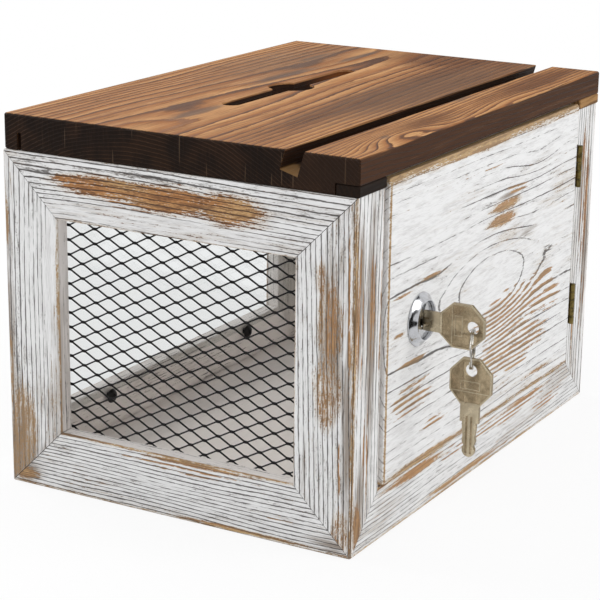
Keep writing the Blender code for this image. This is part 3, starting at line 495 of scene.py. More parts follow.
DOOR_SIDE_BOARDS = {
    "door_side_lock_stile": ("Z", dict(
        pith=(-170, -60, 0.02, 0.0), spacing=2.4, seed=4.4, lined=0.6, grit=0.9, combed=1.1, faded=0.3,
        edge_wear=0.9, edges=(("X", -144.0, 2.4), ("X", -117.0, 1.6)),
        scrapes=(
            (-143, 120, 3.4, 90, 0.9), (-143.5, 40, 2.4, 60, 0.8), (-127.5, 120, 1.3, 46, 0.8),
            (-116.6, 100, 1.8, 90, 0.8), (-138, 14, 8, 22, 0.85), (-127.6, 122, 2.6, 34, 0.9),
        ),
        streaked=(
            (-139, 120, 6, 90, 0.95), (-127, 112, 4.5, 60, 1.0), (-131, 50, 5, 50, 0.9),
            (-119, 120, 3, 90, 0.8),
        ),
        soiled=((-138, 130, 7, 60, 0.9), (-128, 110, 6, 76, 1.15), (-136, 30, 9, 40, 0.9)),
    )),
    "door_side_hinge_stile": ("Z", dict(
        pith=(170, -50, 0.015, 0.0), spacing=2.2, seed=9.6, lined=0.6, combed=1.2, edge_wear=0.85,
        edges=(("X", 144.0, 2.0), ("X", 117.0, 1.6)),
        scrapes=((136, 120, 4, 60, 0.85), (125, 50, 2, 40, 0.8), (129, 150, 4, 26, 0.8)),
        streaked=((131, 120, 9, 70, 0.95), (138, 60, 6, 60, 0.85)),
        soiled=((138, 90, 7, 90, 0.9), (128, 130, 8, 60, 0.8)),
    )),
    "door_side_bottom_rail": ("X", dict(
        pith=(-60, -120, 0.0, 0.006), spacing=2.1, seed=15.2, line_width=0.36, lined=0.46, faded=0.35,
        edge_wear=0.92, edges=(("Z", 0.0, 3.0), ("Z", 27.0, 1.6)),
        calm_marks=((60, 14, 120, 14, 0.5),),
        scrapes=((-78, 23, 46, 3.6, 1.0), (-20, 4, 80, 3.0, 0.8), (60, 22, 60, 2.4, 0.8)),
        streaked=((20, 20, 140, 9, 0.85), (0, 4, 140, 6, 0.85), (90, 12, 50, 12, 0.8)),
    )),
}

DOOR_LOOK = dict(
    pith=(-158, 103, 0, 0), spacing=3.7, seed=6.3, wobble=0.9, line_width=0.42, lined=0.36, combed=0.6,
    faded=0.5, grime=0.1, streaking=0.5, edge_wear=1.15,
    edges=(("Z", 180.0, 6.4), ("Z", 27.6, 4.4), ("X", -113.9, 0.8), ("X", 113.2, 0.8)),
    bulges=((2, 102, 76, 42, -9.0), (-95, 150, 60, 16, 3.0), (60, 158, 50, 14, 3.0)),
    line_marks=((30, 150, 60, 14, 1.0), (-70, 75, 50, 18, 1.0), (40, 62, 70, 20, 1.0)),
    calm_marks=(
        (4, 104, 52, 20, 0.85), (76, 119, 30, 15, 1.0), (-75, 152, 60, 20, 0.9), (-35, 130, 34, 12, 0.9),
    ),
    scrapes=(
        (17, 141.4, 25, 3.8, 1.05), (14, 134, 24, 4.4, 1.05), (-99, 120, 17, 1.5, 0.8),
        (-68, 123, 20, 1.6, 0.85), (-103, 101, 11, 1.8, 0.8), (-88, 84.5, 25, 1.4, 0.8),
        (70, 36, 44, 2.6, 0.7), (-66, 29.5, 62, 3.6, 1.0), (-20, 178, 92, 4.0, 1.0),
    ),
    streaked=(
        (40, 80, 60, 14, 1.34), (70, 90, 24, 9, 1.0), (34, 60, 48, 13, 1.34), (38, 49, 34, 7, 0.9),
        (-88, 66, 34, 15, 1.0), (-88, 84, 32, 5, 0.8), (85, 70, 30, 8, 0.8), (0, 165, 110, 5, 0.6),
        (-60, 46, 44, 7, 0.75), (30, 148, 34, 9, 0.75),
    ),
    soiled=((22, 146, 22, 2.6, 1.0), (45, 121, 40, 6, 0.6), (10, 88, 30, 5, 0.5)),
)

# The walls that the photograph doesn't show: their names, their faces and their boards.
HIDDEN_WALLS = (
    ("right_end", ("X", 144.0, 0.5), ("bottom_rail", "top_rail", "window_stile", "door_stile")),
    ("window_side", ("Y", 100.0, 0.5), ("bottom_rail", "top_rail", "left_stile", "right_stile")),
)


def hidden_board(side, piece, order):
    """The grain and look of a wall board that the photograph doesn't show, worn like its shown twin."""
    low, high = (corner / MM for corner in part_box(side + "_" + piece))
    level = "Y" if side == "right_end" else "X"
    stile = piece.endswith("stile")
    grain, across = ("Z", level) if stile else (level, "Z")
    low, high = low[AXES.index(across)], high[AXES.index(across)]
    return grain, dict(
        pith=(high + 150, -40, 0.0, 0.01) if stile else (-60, high + 140, 0.006, 0.0),
        spacing=(1.5, 1.9, 2.1, 2.4)[order % 4], seed=30.0 + 5.3 * order, lined=0.6, grit=0.9, worn=0.06,
        combed=0.8, edge_wear=0.8, edges=((across, low + 0.3, 2.2), (across, high - 0.3, 2.0)),
    )


class BALLOT_BOX_OT_walls(bpy.types.Operator):
    """Whitewash the four mitred walls and the floor of the box"""

    bl_idname = "ballot_box.walls"
    bl_label = "Whitewash the walls"

    def execute(self, context):
        for boards, face in ((LEFT_END_BOARDS, LEFT_FACE), (DOOR_SIDE_BOARDS, FRONT_FACE)):
            for name, (grain, look) in boards.items():
                whitewash(name, grain, face, look)
        order = 0
        for side, face, pieces in HIDDEN_WALLS:
            for piece in pieces:
                grain, look = hidden_board(side, piece, order)
                whitewash(side + "_" + piece, grain, face, look)
                order += 1
        base = dict(pith=(20, -90, 0, 0), spacing=4.2, seed=77.0, lined=0.2, grime=0.06)
        whitewash("base_panel", "X", UNDERSIDE, base)
        return {"FINISHED"}


class BALLOT_BOX_OT_door(bpy.types.Operator):
    """Whitewash the door, with its oval figure and scraped streaks"""

    bl_idname = "ballot_box.door"
    bl_label = "Whitewash the door"

    def execute(self, context):
        whitewash("door_panel", "X", DOOR_FACE, DOOR_LOOK)
        return {"FINISHED"}


# Marks on the lid's top, in the same five numbers as a board's.
LID_BULGES = (
    (-82, -89, 60, 16, 8.0), (30, -92, 80, 12, 3.0), (60, 44, 110, 24, 2.2), (-92, 24, 50, 18, 1.7),
    (20, -30, 90, 10, 1.2), (-10, 84, 70, 12, 1.4),
)
LID_BURNT = (
    (70, -42, 240, 36, 1.0), (130, -10, 70, 90, 0.8), (80, 104, 120, 12, 0.9), (90, -84, 110, 18, 0.9),
    (-160, -64, 60, 16, 0.6), (-50, -86, 90, 18, 0.7),
)
LID_SOOTY = (
    (-92, 21, 36, 6.5, 1.0), (28, 40, 56, 6.5, 1.0), (92, 57, 34, 5, 0.9), (108, 37, 44, 5, 0.9),
    (-93, -86, 12, 4, 0.8), (20, -72, 24, 5, 0.8), (0, 18, 76, 11, 0.7),
)
LID_GREYED = ((30, -46, 150, 34, 1.0), (70, 64, 110, 34, 0.9))
LID_TOP = 194.0
SLOT_MIDDLE = 18.5
GROOVE_MIDDLE = -66.0
LID_RING = 1.9
BULGE_DEPTH = 30.0
BURN_DEPTH = 40.0


def scorched_pine(name):
    """Flat-sawn pine, its soft wood torched brown and its rings burnt dark."""
    wood = settings_of("wood")
    material, tree, place = new_finish(name)

    def marked(marks):
        return tree.spots(place, lumps("Z", marks, LID_TOP, BURN_DEPTH))

    bulges = lumps("Z", LID_BULGES, LID_TOP, BULGE_DEPTH)
    share, chance = rings(tree, place, "X", (24, 60, 0.02, -0.012), LID_RING, 0.95, bulges, 2.7)
    late = late_wood(tree, share, LID_RING, 0.36)
    broad = tree.noise(place, along("X", 0.008, 0.04), (4, 0, 0), 3.0)
    streak = tree.noise(place, along("X", 0.014, 0.42), (0, 9, 0), 4.0, 0.6)
    fibre = tree.noise(place, along("X", 0.09, 2.6), (0, 0, 7), 3.0, 0.6)
    hair = tree.noise(place, along("X", 0.02, 1.3), (3, 3, 0))
    cracks = tree.rise(hair, 0.155, 0.19) * tree.rise(broad, -0.08, 0.08)
    top = tree.coats(
        wood.lid_early,
        (screen(170, 110, 60), share, 0.0, 0.8, 1.0),
        (screen(150, 98, 60), broad + chance * 0.3, -0.12, 0.12, 0.55),
        (screen(226, 176, 124), streak, 0.02, 0.22, 0.55),
        (wood.lid_late, late * tree.rise(chance, -0.5, 0.2, 0.4, 0.95)),
        (screen(104, 64, 38), streak, -0.04, -0.22, 0.55),
        (wood.lid_late, fibre, -0.03, 0.22, 0.5),
    )
    burn = tree.rise(marked(LID_BURNT) + streak * 0.9 + broad * 0.8, 0.12, 0.62, 0.0, 0.72)
    top = tree.coats(
        tree.blend(burn, top, screen(138, 112, 96), "MULTIPLY"),
        (screen(92, 80, 74), marked(LID_SOOTY) + streak * 1.1 + fibre * 0.5, 0.12, 0.62, 0.72),
        (screen(118, 96, 78), marked(LID_GREYED) + streak, 0.0, 0.7, 0.38),
        (screen(40, 28, 22), cracks * 0.8),
        (screen(106, 92, 84), 0.16),
    )

    x, y, z = tree.axes(place)
    from_middle = tree.size_of(x)
    patchy = tree.noise(place, (0, 0.05, 0.05), (1, 7, 7))
    end_grain = tree.coats(
        wood.lid_end,
        (screen(42, 26, 15), patchy, -0.08, 0.12, 0.6),
        (screen(66, 44, 27), late * tree.rise(patchy, -0.14, 0.14, 0.1, 0.7)),
        (screen(52, 33, 20), tree.noise(place, (0, 0.9, 0.05), (2, 2, 2), 2.0, 0.6), 0.0, 0.25, 0.4),
        (screen(112, 90, 70), tree.noise(place, (0, 0.7, 0.03), (5, 0, 1), 1.0), 0.20, 0.23, 0.35),
        (screen(54, 36, 24), y, -64.0, -70.0, 0.4),
    )
    sides = tree.coats(
        screen(70, 44, 27),
        (screen(38, 23, 13), late * 0.6),
        (screen(106, 72, 46), streak, 0.0, 0.2, 0.5),
        (screen(40, 24, 14), fibre, 0.0, 0.22, 0.5),
        (screen(54, 34, 20), z, 186.0, 178.0, 0.5),
    )
    # The walls of the slot and the groove are painted dark brown as shade. The slot's walls turn lighter
    # orange from x = 20 mm onwards, and the groove's floor keeps a lighter pine colour near the lid's left
    # end, where light reaches in.
    by_slot = tree.rise(tree.size_of(y - SLOT_MIDDLE), 14.0, 13.0)
    by_groove = tree.rise(tree.size_of(y - GROOVE_MIDDLE), 14.0, 12.0)
    lit_groove_end = by_groove * tree.rise(x + streak * 24, -128.0, -134.0) * tree.rise(z, 185.5, 184.0)
    cuts = tree.coats(
        screen(46, 29, 19),
        (screen(24, 15, 10), late * 0.5),
        (screen(128, 76, 40), by_slot * tree.rise(x, 20.0, 62.0) * 0.8),
        (screen(150, 116, 76), lit_groove_end),
    )
    # The lid's faces by their places on it: front, rear, underside, and the walls of its cuts.
    front = tree.rise(y + hair * 1.2, -100.4, -100.8)
    rear = tree.rise(y, 98.4, 98.8)
    below = tree.rise(z, 177.2, 176.6)
    cut = tree.rise(z, 193.3, 192.9) * tree.rise(from_middle, 143.4, 143.0) * tree.rise(y, -100.3, -99.9)
    colour = tree.coats(
        top,
        (sides, tree.highest(front, tree.highest(rear, below))),
        (end_grain, tree.rise(from_middle + fibre * 1.6, 142.9, 143.5)),
        (cuts, cut * tree.rise(y, 98.7, 98.3) * (1 - below)),
    )
    height = late * 0.2 + fibre * 0.14 - cracks * 0.2 + streak * 0.15
    surface(tree, colour, tree.rise(late + broad, 0.0, 1.0, 0.66, 0.52), height, 0.9, gloss=0.1)
    return material


def offcut_pine(name):
    """The lid's pine in its two end blocks: the left one stained, the right one nearly bare."""
    material, tree, place = new_finish(name)
    spacing = 2.4
    share = rings(tree, place, "X", (-40, 150, 0, 0.05), spacing, 0.8, (), 8.8)[0]
    late = late_wood(tree, share, spacing, 0.7)
    streak = tree.noise(place, along("X", 0.05, 0.8), (1, 2, 3), 3.0)
    bare = tree.rise(tree.axes(place)[0], -40.0, 40.0)
    rings_colour = tree.blend(bare, screen(34, 22, 14), screen(60, 38, 24))
    colour = tree.coats(
        screen(26, 17, 11),
        (screen(158, 120, 76), bare),
        (rings_colour, late * 0.6),
        (screen(50, 33, 22), streak, 0.0, 0.2, 0.4),
    )
    roughness = tree.rise(streak, -0.2, 0.2, 0.55, 0.7)
    surface(tree, colour, roughness, late * 0.12 + streak * 0.1, 0.7, gloss=0.1)
    return material


class BALLOT_BOX_OT_lid(bpy.types.Operator):
    """Scorch the lid board and stain its two end blocks"""

    bl_idname = "ballot_box.lid"
    bl_label = "Scorch the lid"

    def execute(self, context):
        assign(scorched_pine("Scorched pine"), "lid_board")
        assign(offcut_pine("Stained pine"), "lid_end_block_left", "lid_end_block_right")
        return {"FINISHED"}


def speckled(name, colour, dark, roughness, metallic, grime, relief=0.02, gloss=0.5, middle=None):
    """Metal with tarnish, uneven gloss and faint scratches, their relief in millimetres.

    A key gives the X of its middle: its sunk field darkens with tarnish and painted shade, the foot of each
    raised part with painted shade, and its raised tops get a painted highlight that also stands for
    rubbing.
    """
    material, tree, place = new_finish(name)
    cloud = tree.noise(place, (0.35, 0.35, 0.35), (3, 1, 2), 3.0)
    grain = tree.noise(place, (3.1, 3.3, 2.9), (0, 4, 1), 3.0, 0.6)
    brushed = tree.noise(place, (0.4, 9.0, 9.0), (5, 0, 0), 1.0)
    shade = tree.coats(colour, (dark, cloud + grain * 0.6, -0.08, 0.25, grime))
    if middle is not None:
        depth = tree.size_of(tree.axes(place)[0] - middle / MM)
        # Key faces by how far they stand from the key's middle: tarnish and painted shade on the sunk
        # field, darker painted shade at the foot of each raised part, and a painted highlight, partly
        # rubbing, on the raised tops.
        shade = tree.coats(
            shade,
            (dark, depth, 0.7, 0.78, 0.22),
            (screen(60, 50, 38), tree.rise(depth, 0.77, 0.80) * tree.rise(depth, 0.86, 0.89, 0.75, 0.0)),
            (screen(214, 202, 176), depth, 0.86, 0.9, 0.55),
        )
    roughness = tree.rise(cloud + brushed * 0.5, -0.2, 0.2, roughness * 0.75, roughness * 1.35)
    surface(tree, shade, roughness, grain * relief + brushed * (relief * 0.5), 0.6, metallic, gloss)
    return material


def plug_metal(name, front):
    """The plug's chrome, with painted shade inside the keyway's mouth. The front is the Y of the plug's
    face.
    """
    material, tree, place = new_finish(name)
    grain = tree.noise(place, (2.0, 2.0, 2.0), (1, 6, 2), 3.0, 0.6)
    mouth = tree.rise(tree.axes(place)[1], front / MM + 0.25, front / MM + 0.6)
    chrome = settings_of("metal").chrome
    # The keyway's mouth is painted near black as shade in its recess.
    shade = tree.coats(chrome, (screen(150, 146, 136), grain, -0.1, 0.2, 0.6), (screen(26, 23, 20), mouth))
    roughness = tree.rise(mouth + grain * 0.3, 0.0, 1.0, 0.2, 0.6)
    surface(tree, shade, roughness, grain * 0.01, 0.5, metallic=1.0)
    return material


def placed(name, data):
    """A new object in the scene."""
    item = bpy.data.objects.new(name, data)
    bpy.context.scene.collection.objects.link(item)
    return item


def plain_mesh(item, name):
    """The mesh that an object's modifiers or its curve make. The object itself goes."""
    evaluated = item.evaluated_get(bpy.context.evaluated_depsgraph_get())
    mesh = bpy.data.meshes.new_from_object(evaluated)
    mesh.name = name
    bpy.data.objects.remove(item, do_unlink=True)
    return mesh


def new_piece(name, mesh, body, slot, material, *replaced):
    """An object for a finished mesh, with its body and finish, and the nodes it stands for. Its slot is not
    used.
    """
    item = placed(name, mesh)
    mesh.materials.clear()
    mesh.materials.append(material)
    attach(item, body)
    if replaced:
        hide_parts(*replaced)


def node_box(name):
    """A node's lowest corner, its highest corner and its middle."""
    low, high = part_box(name)
    return low, high, (low + high) / 2


def group_inputs(tree, kinds):
    """Name a Geometry Nodes tree's inputs and its output, and give links to the inputs."""
    interface = tree.nodes.interface
    interface.new_socket("Geometry", in_out="INPUT", socket_type="NodeSocketGeometry")
    for name, kind in kinds.items():
        interface.new_socket(name, in_out="INPUT", socket_type=kind)
    interface.new_socket("Geometry", in_out="OUTPUT", socket_type="NodeSocketGeometry")
    entry = tree.node("NodeGroupInput").socket.node
    return {socket.name: Link(tree, socket) for socket in entry.outputs if socket.name}


def grown(name, tree, values, source):
    """The plain mesh that a Geometry Nodes tree makes of a mesh."""
    item = placed(name + "_source", source)
    modifier = item.modifiers.new("Grown", "NODES")
    modifier.node_group = tree.nodes
    for socket in tree.nodes.interface.items_tree:
        if socket.in_out == "INPUT" and socket.name in values:
            modifier[socket.identifier] = values[socket.name]
    return plain_mesh(item, name)


def finished(tree, instances, finish):
    """End a Geometry Nodes tree: real geometry in one finish."""
    solid = tree.node("GeometryNodeRealizeInstances", None, {0: instances})
    solid = tree.node("GeometryNodeSetMaterial", None, {"Geometry": solid, "Material": finish})
    tree.node("NodeGroupOutput", None, {0: solid})
    return tree


# How much deeper than wide a strand is, and the number inputs of the mesh's Geometry Nodes.
WIRE_FLATNESS = 1.4
MESH_SIZES = (
    "Pitch across", "Pitch up", "Half width", "Half height", "Wire radius", "Knot length", "Flatness",
    "Wall", "Centre height",
)


def mesh_tree():
    """Geometry Nodes for diamond mesh: zigzag strands that lie together at their knots."""
    tree = Tree(bpy.data.node_groups.new("Diamond mesh", "GeometryNodeTree"))
    kinds = {**dict.fromkeys(MESH_SIZES, "NodeSocketFloat"), "Finish": "NodeSocketMaterial"}
    given = group_inputs(tree, kinds)
    across, up, radius = given["Pitch across"], given["Pitch up"], given["Wire radius"]
    knot = given["Knot length"] * 0.5

    periods = tree.maths("FLOOR", given["Half width"] * 2 / across)
    line = tree.node("GeometryNodeMeshLine", None, {"Count": periods * 4})
    index = tree.node("GeometryNodeInputIndex")
    period = tree.maths("FLOOR", (index + 0.5) / 4)
    corner = index - period * 4
    upper = tree.maths("GREATER_THAN", corner, 1.5)
    later = corner - upper * 2
    start = across * periods * -0.5 + across * 0.25
    x = start + across * period + across * upper * 0.5 + (later * 2 - 1) * knot
    # A knot's two strands lie side by side, so each stops nearly a radius short of its middle.
    y = (upper * 2 - 1) * (up * 0.25 - radius * 0.9)
    path = tree.node("GeometryNodeSetPosition", None, {"Geometry": line, "Position": tree.vector(x, y)})
    curve = tree.node("GeometryNodeMeshToCurve", None, {0: path})
    outline = tree.node("GeometryNodeCurvePrimitiveCircle", None, {"Resolution": 6, "Radius": radius})
    inputs = {"Geometry": outline, "Scale": tree.vector(1.0, given["Flatness"], 1.0)}
    outline = tree.node("GeometryNodeTransform", None, inputs)
    inputs = {"Curve": curve, "Profile Curve": outline, "Fill Caps": True}
    strand = tree.node("GeometryNodeCurveToMesh", None, inputs)

    rows = tree.maths("FLOOR", given["Half height"] * 4 / up)
    rank = tree.node("GeometryNodeMeshLine", None, {"Count": rows})
    lift = (index - (rows - 1) * 0.5) * up * 0.5
    inputs = {"Geometry": rank, "Position": tree.vector(0.0, lift)}
    rank = tree.node("GeometryNodeSetPosition", None, inputs)
    odd = tree.maths("FRACT", (index + 0.25) * 0.5)
    flip = tree.maths("GREATER_THAN", odd, 0.5) * pi
    inputs = {"Points": rank, "Instance": strand, "Rotation": tree.vector(flip)}
    strands = tree.node("GeometryNodeInstanceOnPoints", None, inputs)
    upright = tree.node("GeometryNodeTransform", None, {
        "Geometry": strands,
        "Translation": tree.vector(given["Wall"], 0.0, given["Centre height"]),
        "Rotation": (QUARTER_TURN, 0.0, QUARTER_TURN),
    })
    return finished(tree, upright, given["Finish"])


class BALLOT_BOX_OT_mesh(bpy.types.Operator):
    """Make the two diamond mesh panels and finish their staples"""

    bl_idname = "ballot_box.mesh"
    bl_label = "Hang the diamond mesh"

    def execute(self, context):
        sizes = settings_of("sizes")
        metal = settings_of("metal")
        wire = speckled("Black wire", metal.wire, screen(34, 33, 32), 0.5, 0.0, 0.5, 0.03, 0.25)
        steel = speckled("Staple steel", metal.zinc, screen(110, 108, 104), 0.3, 1.0, 0.5)
        tree = mesh_tree()
        for side in ("left_end", "right_end"):
            low, high, middle = node_box(side + "_mesh")
            half = (high - low) / 2
            numbers = (
                sizes.pitch_across, sizes.pitch_up, half.y, half.z, sizes.wire_radius, sizes.knot_length,
                WIRE_FLATNESS, middle.x, middle.z,
            )
            values = {**dict(zip(MESH_SIZES, numbers)), "Finish": wire}
            mesh = grown(side + "_wire_mesh", tree, values, bpy.data.meshes.new(side))
            mesh.shade_smooth()
            new_piece(side + "_wire_mesh", mesh, "box_body", "black_mesh", wire, side + "_mesh")
            for staple in ("bottom", "top", "first_side", "second_side"):
                assign(steel, side + "_" + staple + "_staple")
        return {"FINISHED"}


HINGES = ("upper_hinge_", "lower_hinge_")


def old_brass(name):
    """Brass gone brown."""
    return speckled(name, settings_of("metal").brass, screen(58, 50, 30), 0.36, 1.0, 0.85, 0.03)


class BALLOT_BOX_OT_hinges(bpy.types.Operator):
    """Finish the brass leaves and pins of the hinges"""

    bl_idname = "ballot_box.hinges"
    bl_label = "Finish the hinges"

    def execute(self, context):
        brass = old_brass("Old brass")
        for hinge in HINGES:
            assign(brass, *[hinge + piece for piece in ("frame_leaf", "door_leaf", "pin")])
        return {"FINISHED"}


def screw_tree():
    """Geometry Nodes that put a screw on each point, its head facing the way the point says."""
    tree = Tree(bpy.data.node_groups.new("Screws", "GeometryNodeTree"))
    kinds = {"Screw": "NodeSocketObject", "Turn seed": "NodeSocketInt", "Finish": "NodeSocketMaterial"}
    given = group_inputs(tree, kinds)
    screw = tree.node("GeometryNodeObjectInfo", None, {"Object": given["Screw"]}, "Geometry")
    facing = tree.node("GeometryNodeInputNamedAttribute", {"data_type": "FLOAT_VECTOR"}, {"Name": "facing"})
    turn = tree.node("FunctionNodeAlignRotationToVector", {"axis": "Z"}, {"Vector": facing})
    inputs = {"Points": given["Geometry"], "Instance": screw, "Rotation": turn}
    screws = tree.node("GeometryNodeInstanceOnPoints", None, inputs)
    chance = tree.node("FunctionNodeRandomValue", {"data_type": "FLOAT"}, {"Seed": given["Turn seed"]}, 1)
    inputs = {"Instances": screws, "Rotation": tree.vector(0.0, 0.0, chance * QUARTER_TURN)}
    return finished(tree, tree.node("GeometryNodeRotateInstances", None, inputs), given["Finish"])


# Screws as (radius, height) points in millimetres.
COUNTERSUNK = [(0, 0), (1.5, 0), (1.7, -0.1), (0.9, -0.8), (0.9, -7.5), (0, -9)]
ROUND_HEAD = [(0, 2.2), (1.4, 2.08), (2.5, 1.75), (3.35, 1.2), (3.85, 0.5), (4.0, 0), (1.6, 0)]
HEAD_HEIGHT = 2.2
TIP_LENGTH = 2.5


def cross_screw(name, profile, half, width, depth):
    """A screw about Z with a cross recess in its head: half its span, half its width, and its depth."""
    top = profile[0][1]
    arms = ((half, width), (width, half))
    tools = [block((-x, -y, top - depth), (x, y, top + 1)) for x, y in arms]
    return rounded_edges(carved(name, turned(name, profile, 20), *tools), 30)


def drive(name, tree, screw, seats, facing, seed, body, slot, material, replaced):
    """One mesh of screws for one body."""
    template = placed(name + "_template", screw)
    points = bpy.data.meshes.new(name)
    points.from_pydata(seats, [], [])
    ways = points.attributes.new("facing", "FLOAT_VECTOR", "POINT")
    ways.data.foreach_set("vector", list(facing) * len(seats))
    mesh = grown(name, tree, {"Screw": template, "Turn seed": seed, "Finish": material}, points)
    bpy.data.objects.remove(template, do_unlink=True)
    new_piece(name, mesh, body, slot, material, *replaced)


class BALLOT_BOX_OT_screws(bpy.types.Operator):
    """Drive the hinge screws and the two screws that carry the pane"""

    bl_idname = "ballot_box.screws"
    bl_label = "Drive the screws"

    def execute(self, context):
        tree = screw_tree()
        screw = cross_screw("countersunk_screw", COUNTERSUNK, 1.0, 0.22, 0.55)
        brass = old_brass("Screw brass")
        for leaf, body, way in (("frame_leaf", "box_body", -1), ("door_leaf", "door", 1)):
            names = [hinge + leaf + "_screw_" + level for hinge in HINGES for level in ("low", "high")]
            seats = []
            for name in names:
                low, high, middle = node_box(name)
                seats.append((high.x if way > 0 else low.x, middle.y, middle.z))
            facing = (way, 0, 0)
            drive(leaf + "_screws", tree, screw, seats, facing, 3, body, "old_brass", brass, names)

        black = speckled("Black steel", screen(26, 25, 25), screen(60, 56, 52), 0.38, 0.6, 0.4)
        names = ["pane_screw_left", "pane_screw_right"]
        low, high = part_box(names[0])
        length = (high.y - low.y) / MM - HEAD_HEIGHT
        shank = [(1.6, TIP_LENGTH - length), (0, -length)]
        screw = cross_screw("round_screw", ROUND_HEAD + shank, 2.0, 0.45, 1.2)
        seats = []
        for name in names:
            low, high, middle = node_box(name)
            seats.append((middle.x, low.y + HEAD_HEIGHT * MM, middle.z))
        drive("pane_screws", tree, screw, seats, (0, -1, 0), 8, "box_body", "black_steel", black, names)
        return {"FINISHED"}


class BALLOT_BOX_OT_pane(bpy.types.Operator):
    """Finish the clear pane"""

    bl_idname = "ballot_box.pane"
    bl_label = "Fit the clear pane"

    def execute(self, context):
        colour = full(settings_of("metal").pane)
        material, tree, place = new_finish("Clear plastic")
        gloss = tree.rise(tree.noise(place, (0.05, 0.05, 0.05), (2, 2, 2), 3.0), -0.2, 0.3, 0.0, 0.03)
        slope = tree.node("ShaderNodeLayerWeight", None, {"Blend": 0.5}, "Facing")
        clear = tree.node("ShaderNodeBsdfTransparent", None, {0: (0.97, 0.97, 0.96, 1)})
        tint = tree.node("ShaderNodeBsdfTransparent", None, {0: colour})
        mirror = {"Base Color": colour, "Roughness": gloss, "Metallic": 1.0}
        sheen = tree.node("ShaderNodeBsdfPrincipled", None, mirror)
        seen = tree.node("ShaderNodeMixShader", None, {0: slope ** 5 * 0.9 + 0.04, 1: tint, 2: sheen})
        from_camera = tree.node("ShaderNodeLightPath")
        mixed = tree.node("ShaderNodeMixShader", None, {0: from_camera, 1: clear, 2: seen})
        tree.node("ShaderNodeOutputMaterial", None, {0: mixed})
        assign(material, "clear_pane")
        return {"FINISHED"}


def block(low, high):
    """A box between two corners in millimetres, as a tool that cuts."""
    form = bmesh.new()
    bmesh.ops.create_cube(form, size=1)
    size = Vector(high) - Vector(low)
    bmesh.ops.scale(form, vec=size * MM, verts=form.verts[:])
    bmesh.ops.translate(form, vec=(Vector(low) + size / 2) * MM, verts=form.verts[:])
    return mesh_of(form, "block")


def carved(name, mesh, *tools):
    """A closed mesh with others cut out of it."""
    item = placed(name, mesh)
    cutters = [placed(name + "_tool", tool) for tool in tools]
    for cutter in cutters:
        modifier = item.modifiers.new("Cut", "BOOLEAN")
        modifier.operation = "DIFFERENCE"
        modifier.solver = "EXACT"
        modifier.object = cutter
    result = plain_mesh(item, name)
    for cutter in cutters:
        bpy.data.objects.remove(cutter, do_unlink=True)
    return result


def mesh_of(form, name):
    """Keep a bmesh as a mesh whose faces point outwards."""
    bmesh.ops.recalc_face_normals(form, faces=form.faces[:])
    mesh = bpy.data.meshes.new(name)
    form.to_mesh(mesh)
    form.free()
    return mesh


def joined(name, *meshes):
    """Several meshes as one."""
    form = bmesh.new()
    for mesh in meshes:
        form.from_mesh(mesh)
        bpy.data.meshes.remove(mesh)
    mesh = bpy.data.meshes.new(name)
    form.to_mesh(mesh)
    form.free()
    return mesh


def rounded_edges(mesh, angle=35):
    """Shade a mesh smooth but for its real edges."""
    mesh.shade_smooth()
    mesh.set_sharp_from_angle(angle=radians(angle))
    return mesh


def skinned(name, loops, closed=False, capped=False):
    """A mesh with faces from each loop of points to the next, in millimetres.

    One point alone closes its end. A closed mesh also goes from the last loop to the first, and a
    capped one has a face in its first and last loop.
    """
    form = bmesh.new()
    rows = [[form.verts.new([part * MM for part in point]) for point in loop] for loop in loops]
    for first, second in zip(rows, rows[1:] + rows[:1] if closed else rows[1:]):
        count = max(len(first), len(second))
        for side in range(count):
            after = (side + 1) % count
            corners = [first[side % len(first)], first[after % len(first)]]
            corners += [second[after % len(second)], second[side % len(second)]]
            corners = list(dict.fromkeys(corners))
            if len(corners) > 2:
                form.faces.new(corners)
    if capped:
        form.faces.new(rows[0])
        form.faces.new(rows[-1][::-1])
    return mesh_of(form, name)


def turned(name, profile, sides, closed=False):
    """A mesh turned about Z from (radius, height) points in millimetres."""
    loops = []
    for radius, height in profile:
        turns = [FULL_TURN * step / sides for step in range(sides if radius else 1)]
        loops.append([(radius * cos(turn), radius * sin(turn), height) for turn in turns])
    return skinned(name, loops, closed)


def plate(name, outlines, half, soft):
    """A flat plate with softened edges, in millimetres: its outer edge first, then its holes."""
    curve = bpy.data.curves.new(name, "CURVE")
    curve.dimensions = "2D"
    curve.fill_mode = "BOTH"
    curve.extrude = (half - soft) * MM
    curve.bevel_depth = soft * MM
    curve.bevel_resolution = 1
    curve.offset = -soft * MM
    for outline in outlines:
        spline = curve.splines.new("POLY")
        spline.points.add(len(outline) - 1)
        for point, (x, y) in zip(spline.points, outline):
            point.co = (x * MM, y * MM, 0, 1)
        spline.use_cyclic_u = True
    return welded(name, plain_mesh(placed(name, curve), name + "_loose"))


def welded(name, mesh):
    """A copy of a mesh whose corners that lie together are one."""
    form = bmesh.new()
    form.from_mesh(mesh)
    bmesh.ops.remove_doubles(form, verts=form.verts[:], dist=0.001 * MM)
    return mesh_of(form, name)


def corners_of(outline):
    """Each corner of a closed outline, between the one before it and the one after it."""
    count = len(outline)
    for index in range(count):
        yield [Vector(outline[(index + step) % count]) for step in (-1, 0, 1)]


def softened(outline, reach, steps=3):
    """An outline with each corner cut back by a reach and rounded."""
    points = []
    for before, corner, after in corners_of(outline):
        first, last = (
            corner + (other - corner).normalized() * min(reach, (other - corner).length * 0.45)
            for other in (before, after)
        )
        for step in range(steps + 1):
            share = step / steps
            point = first * (1 - share) ** 2 + corner * 2 * share * (1 - share) + last * share ** 2
            points.append((point.x, point.y))
    return points


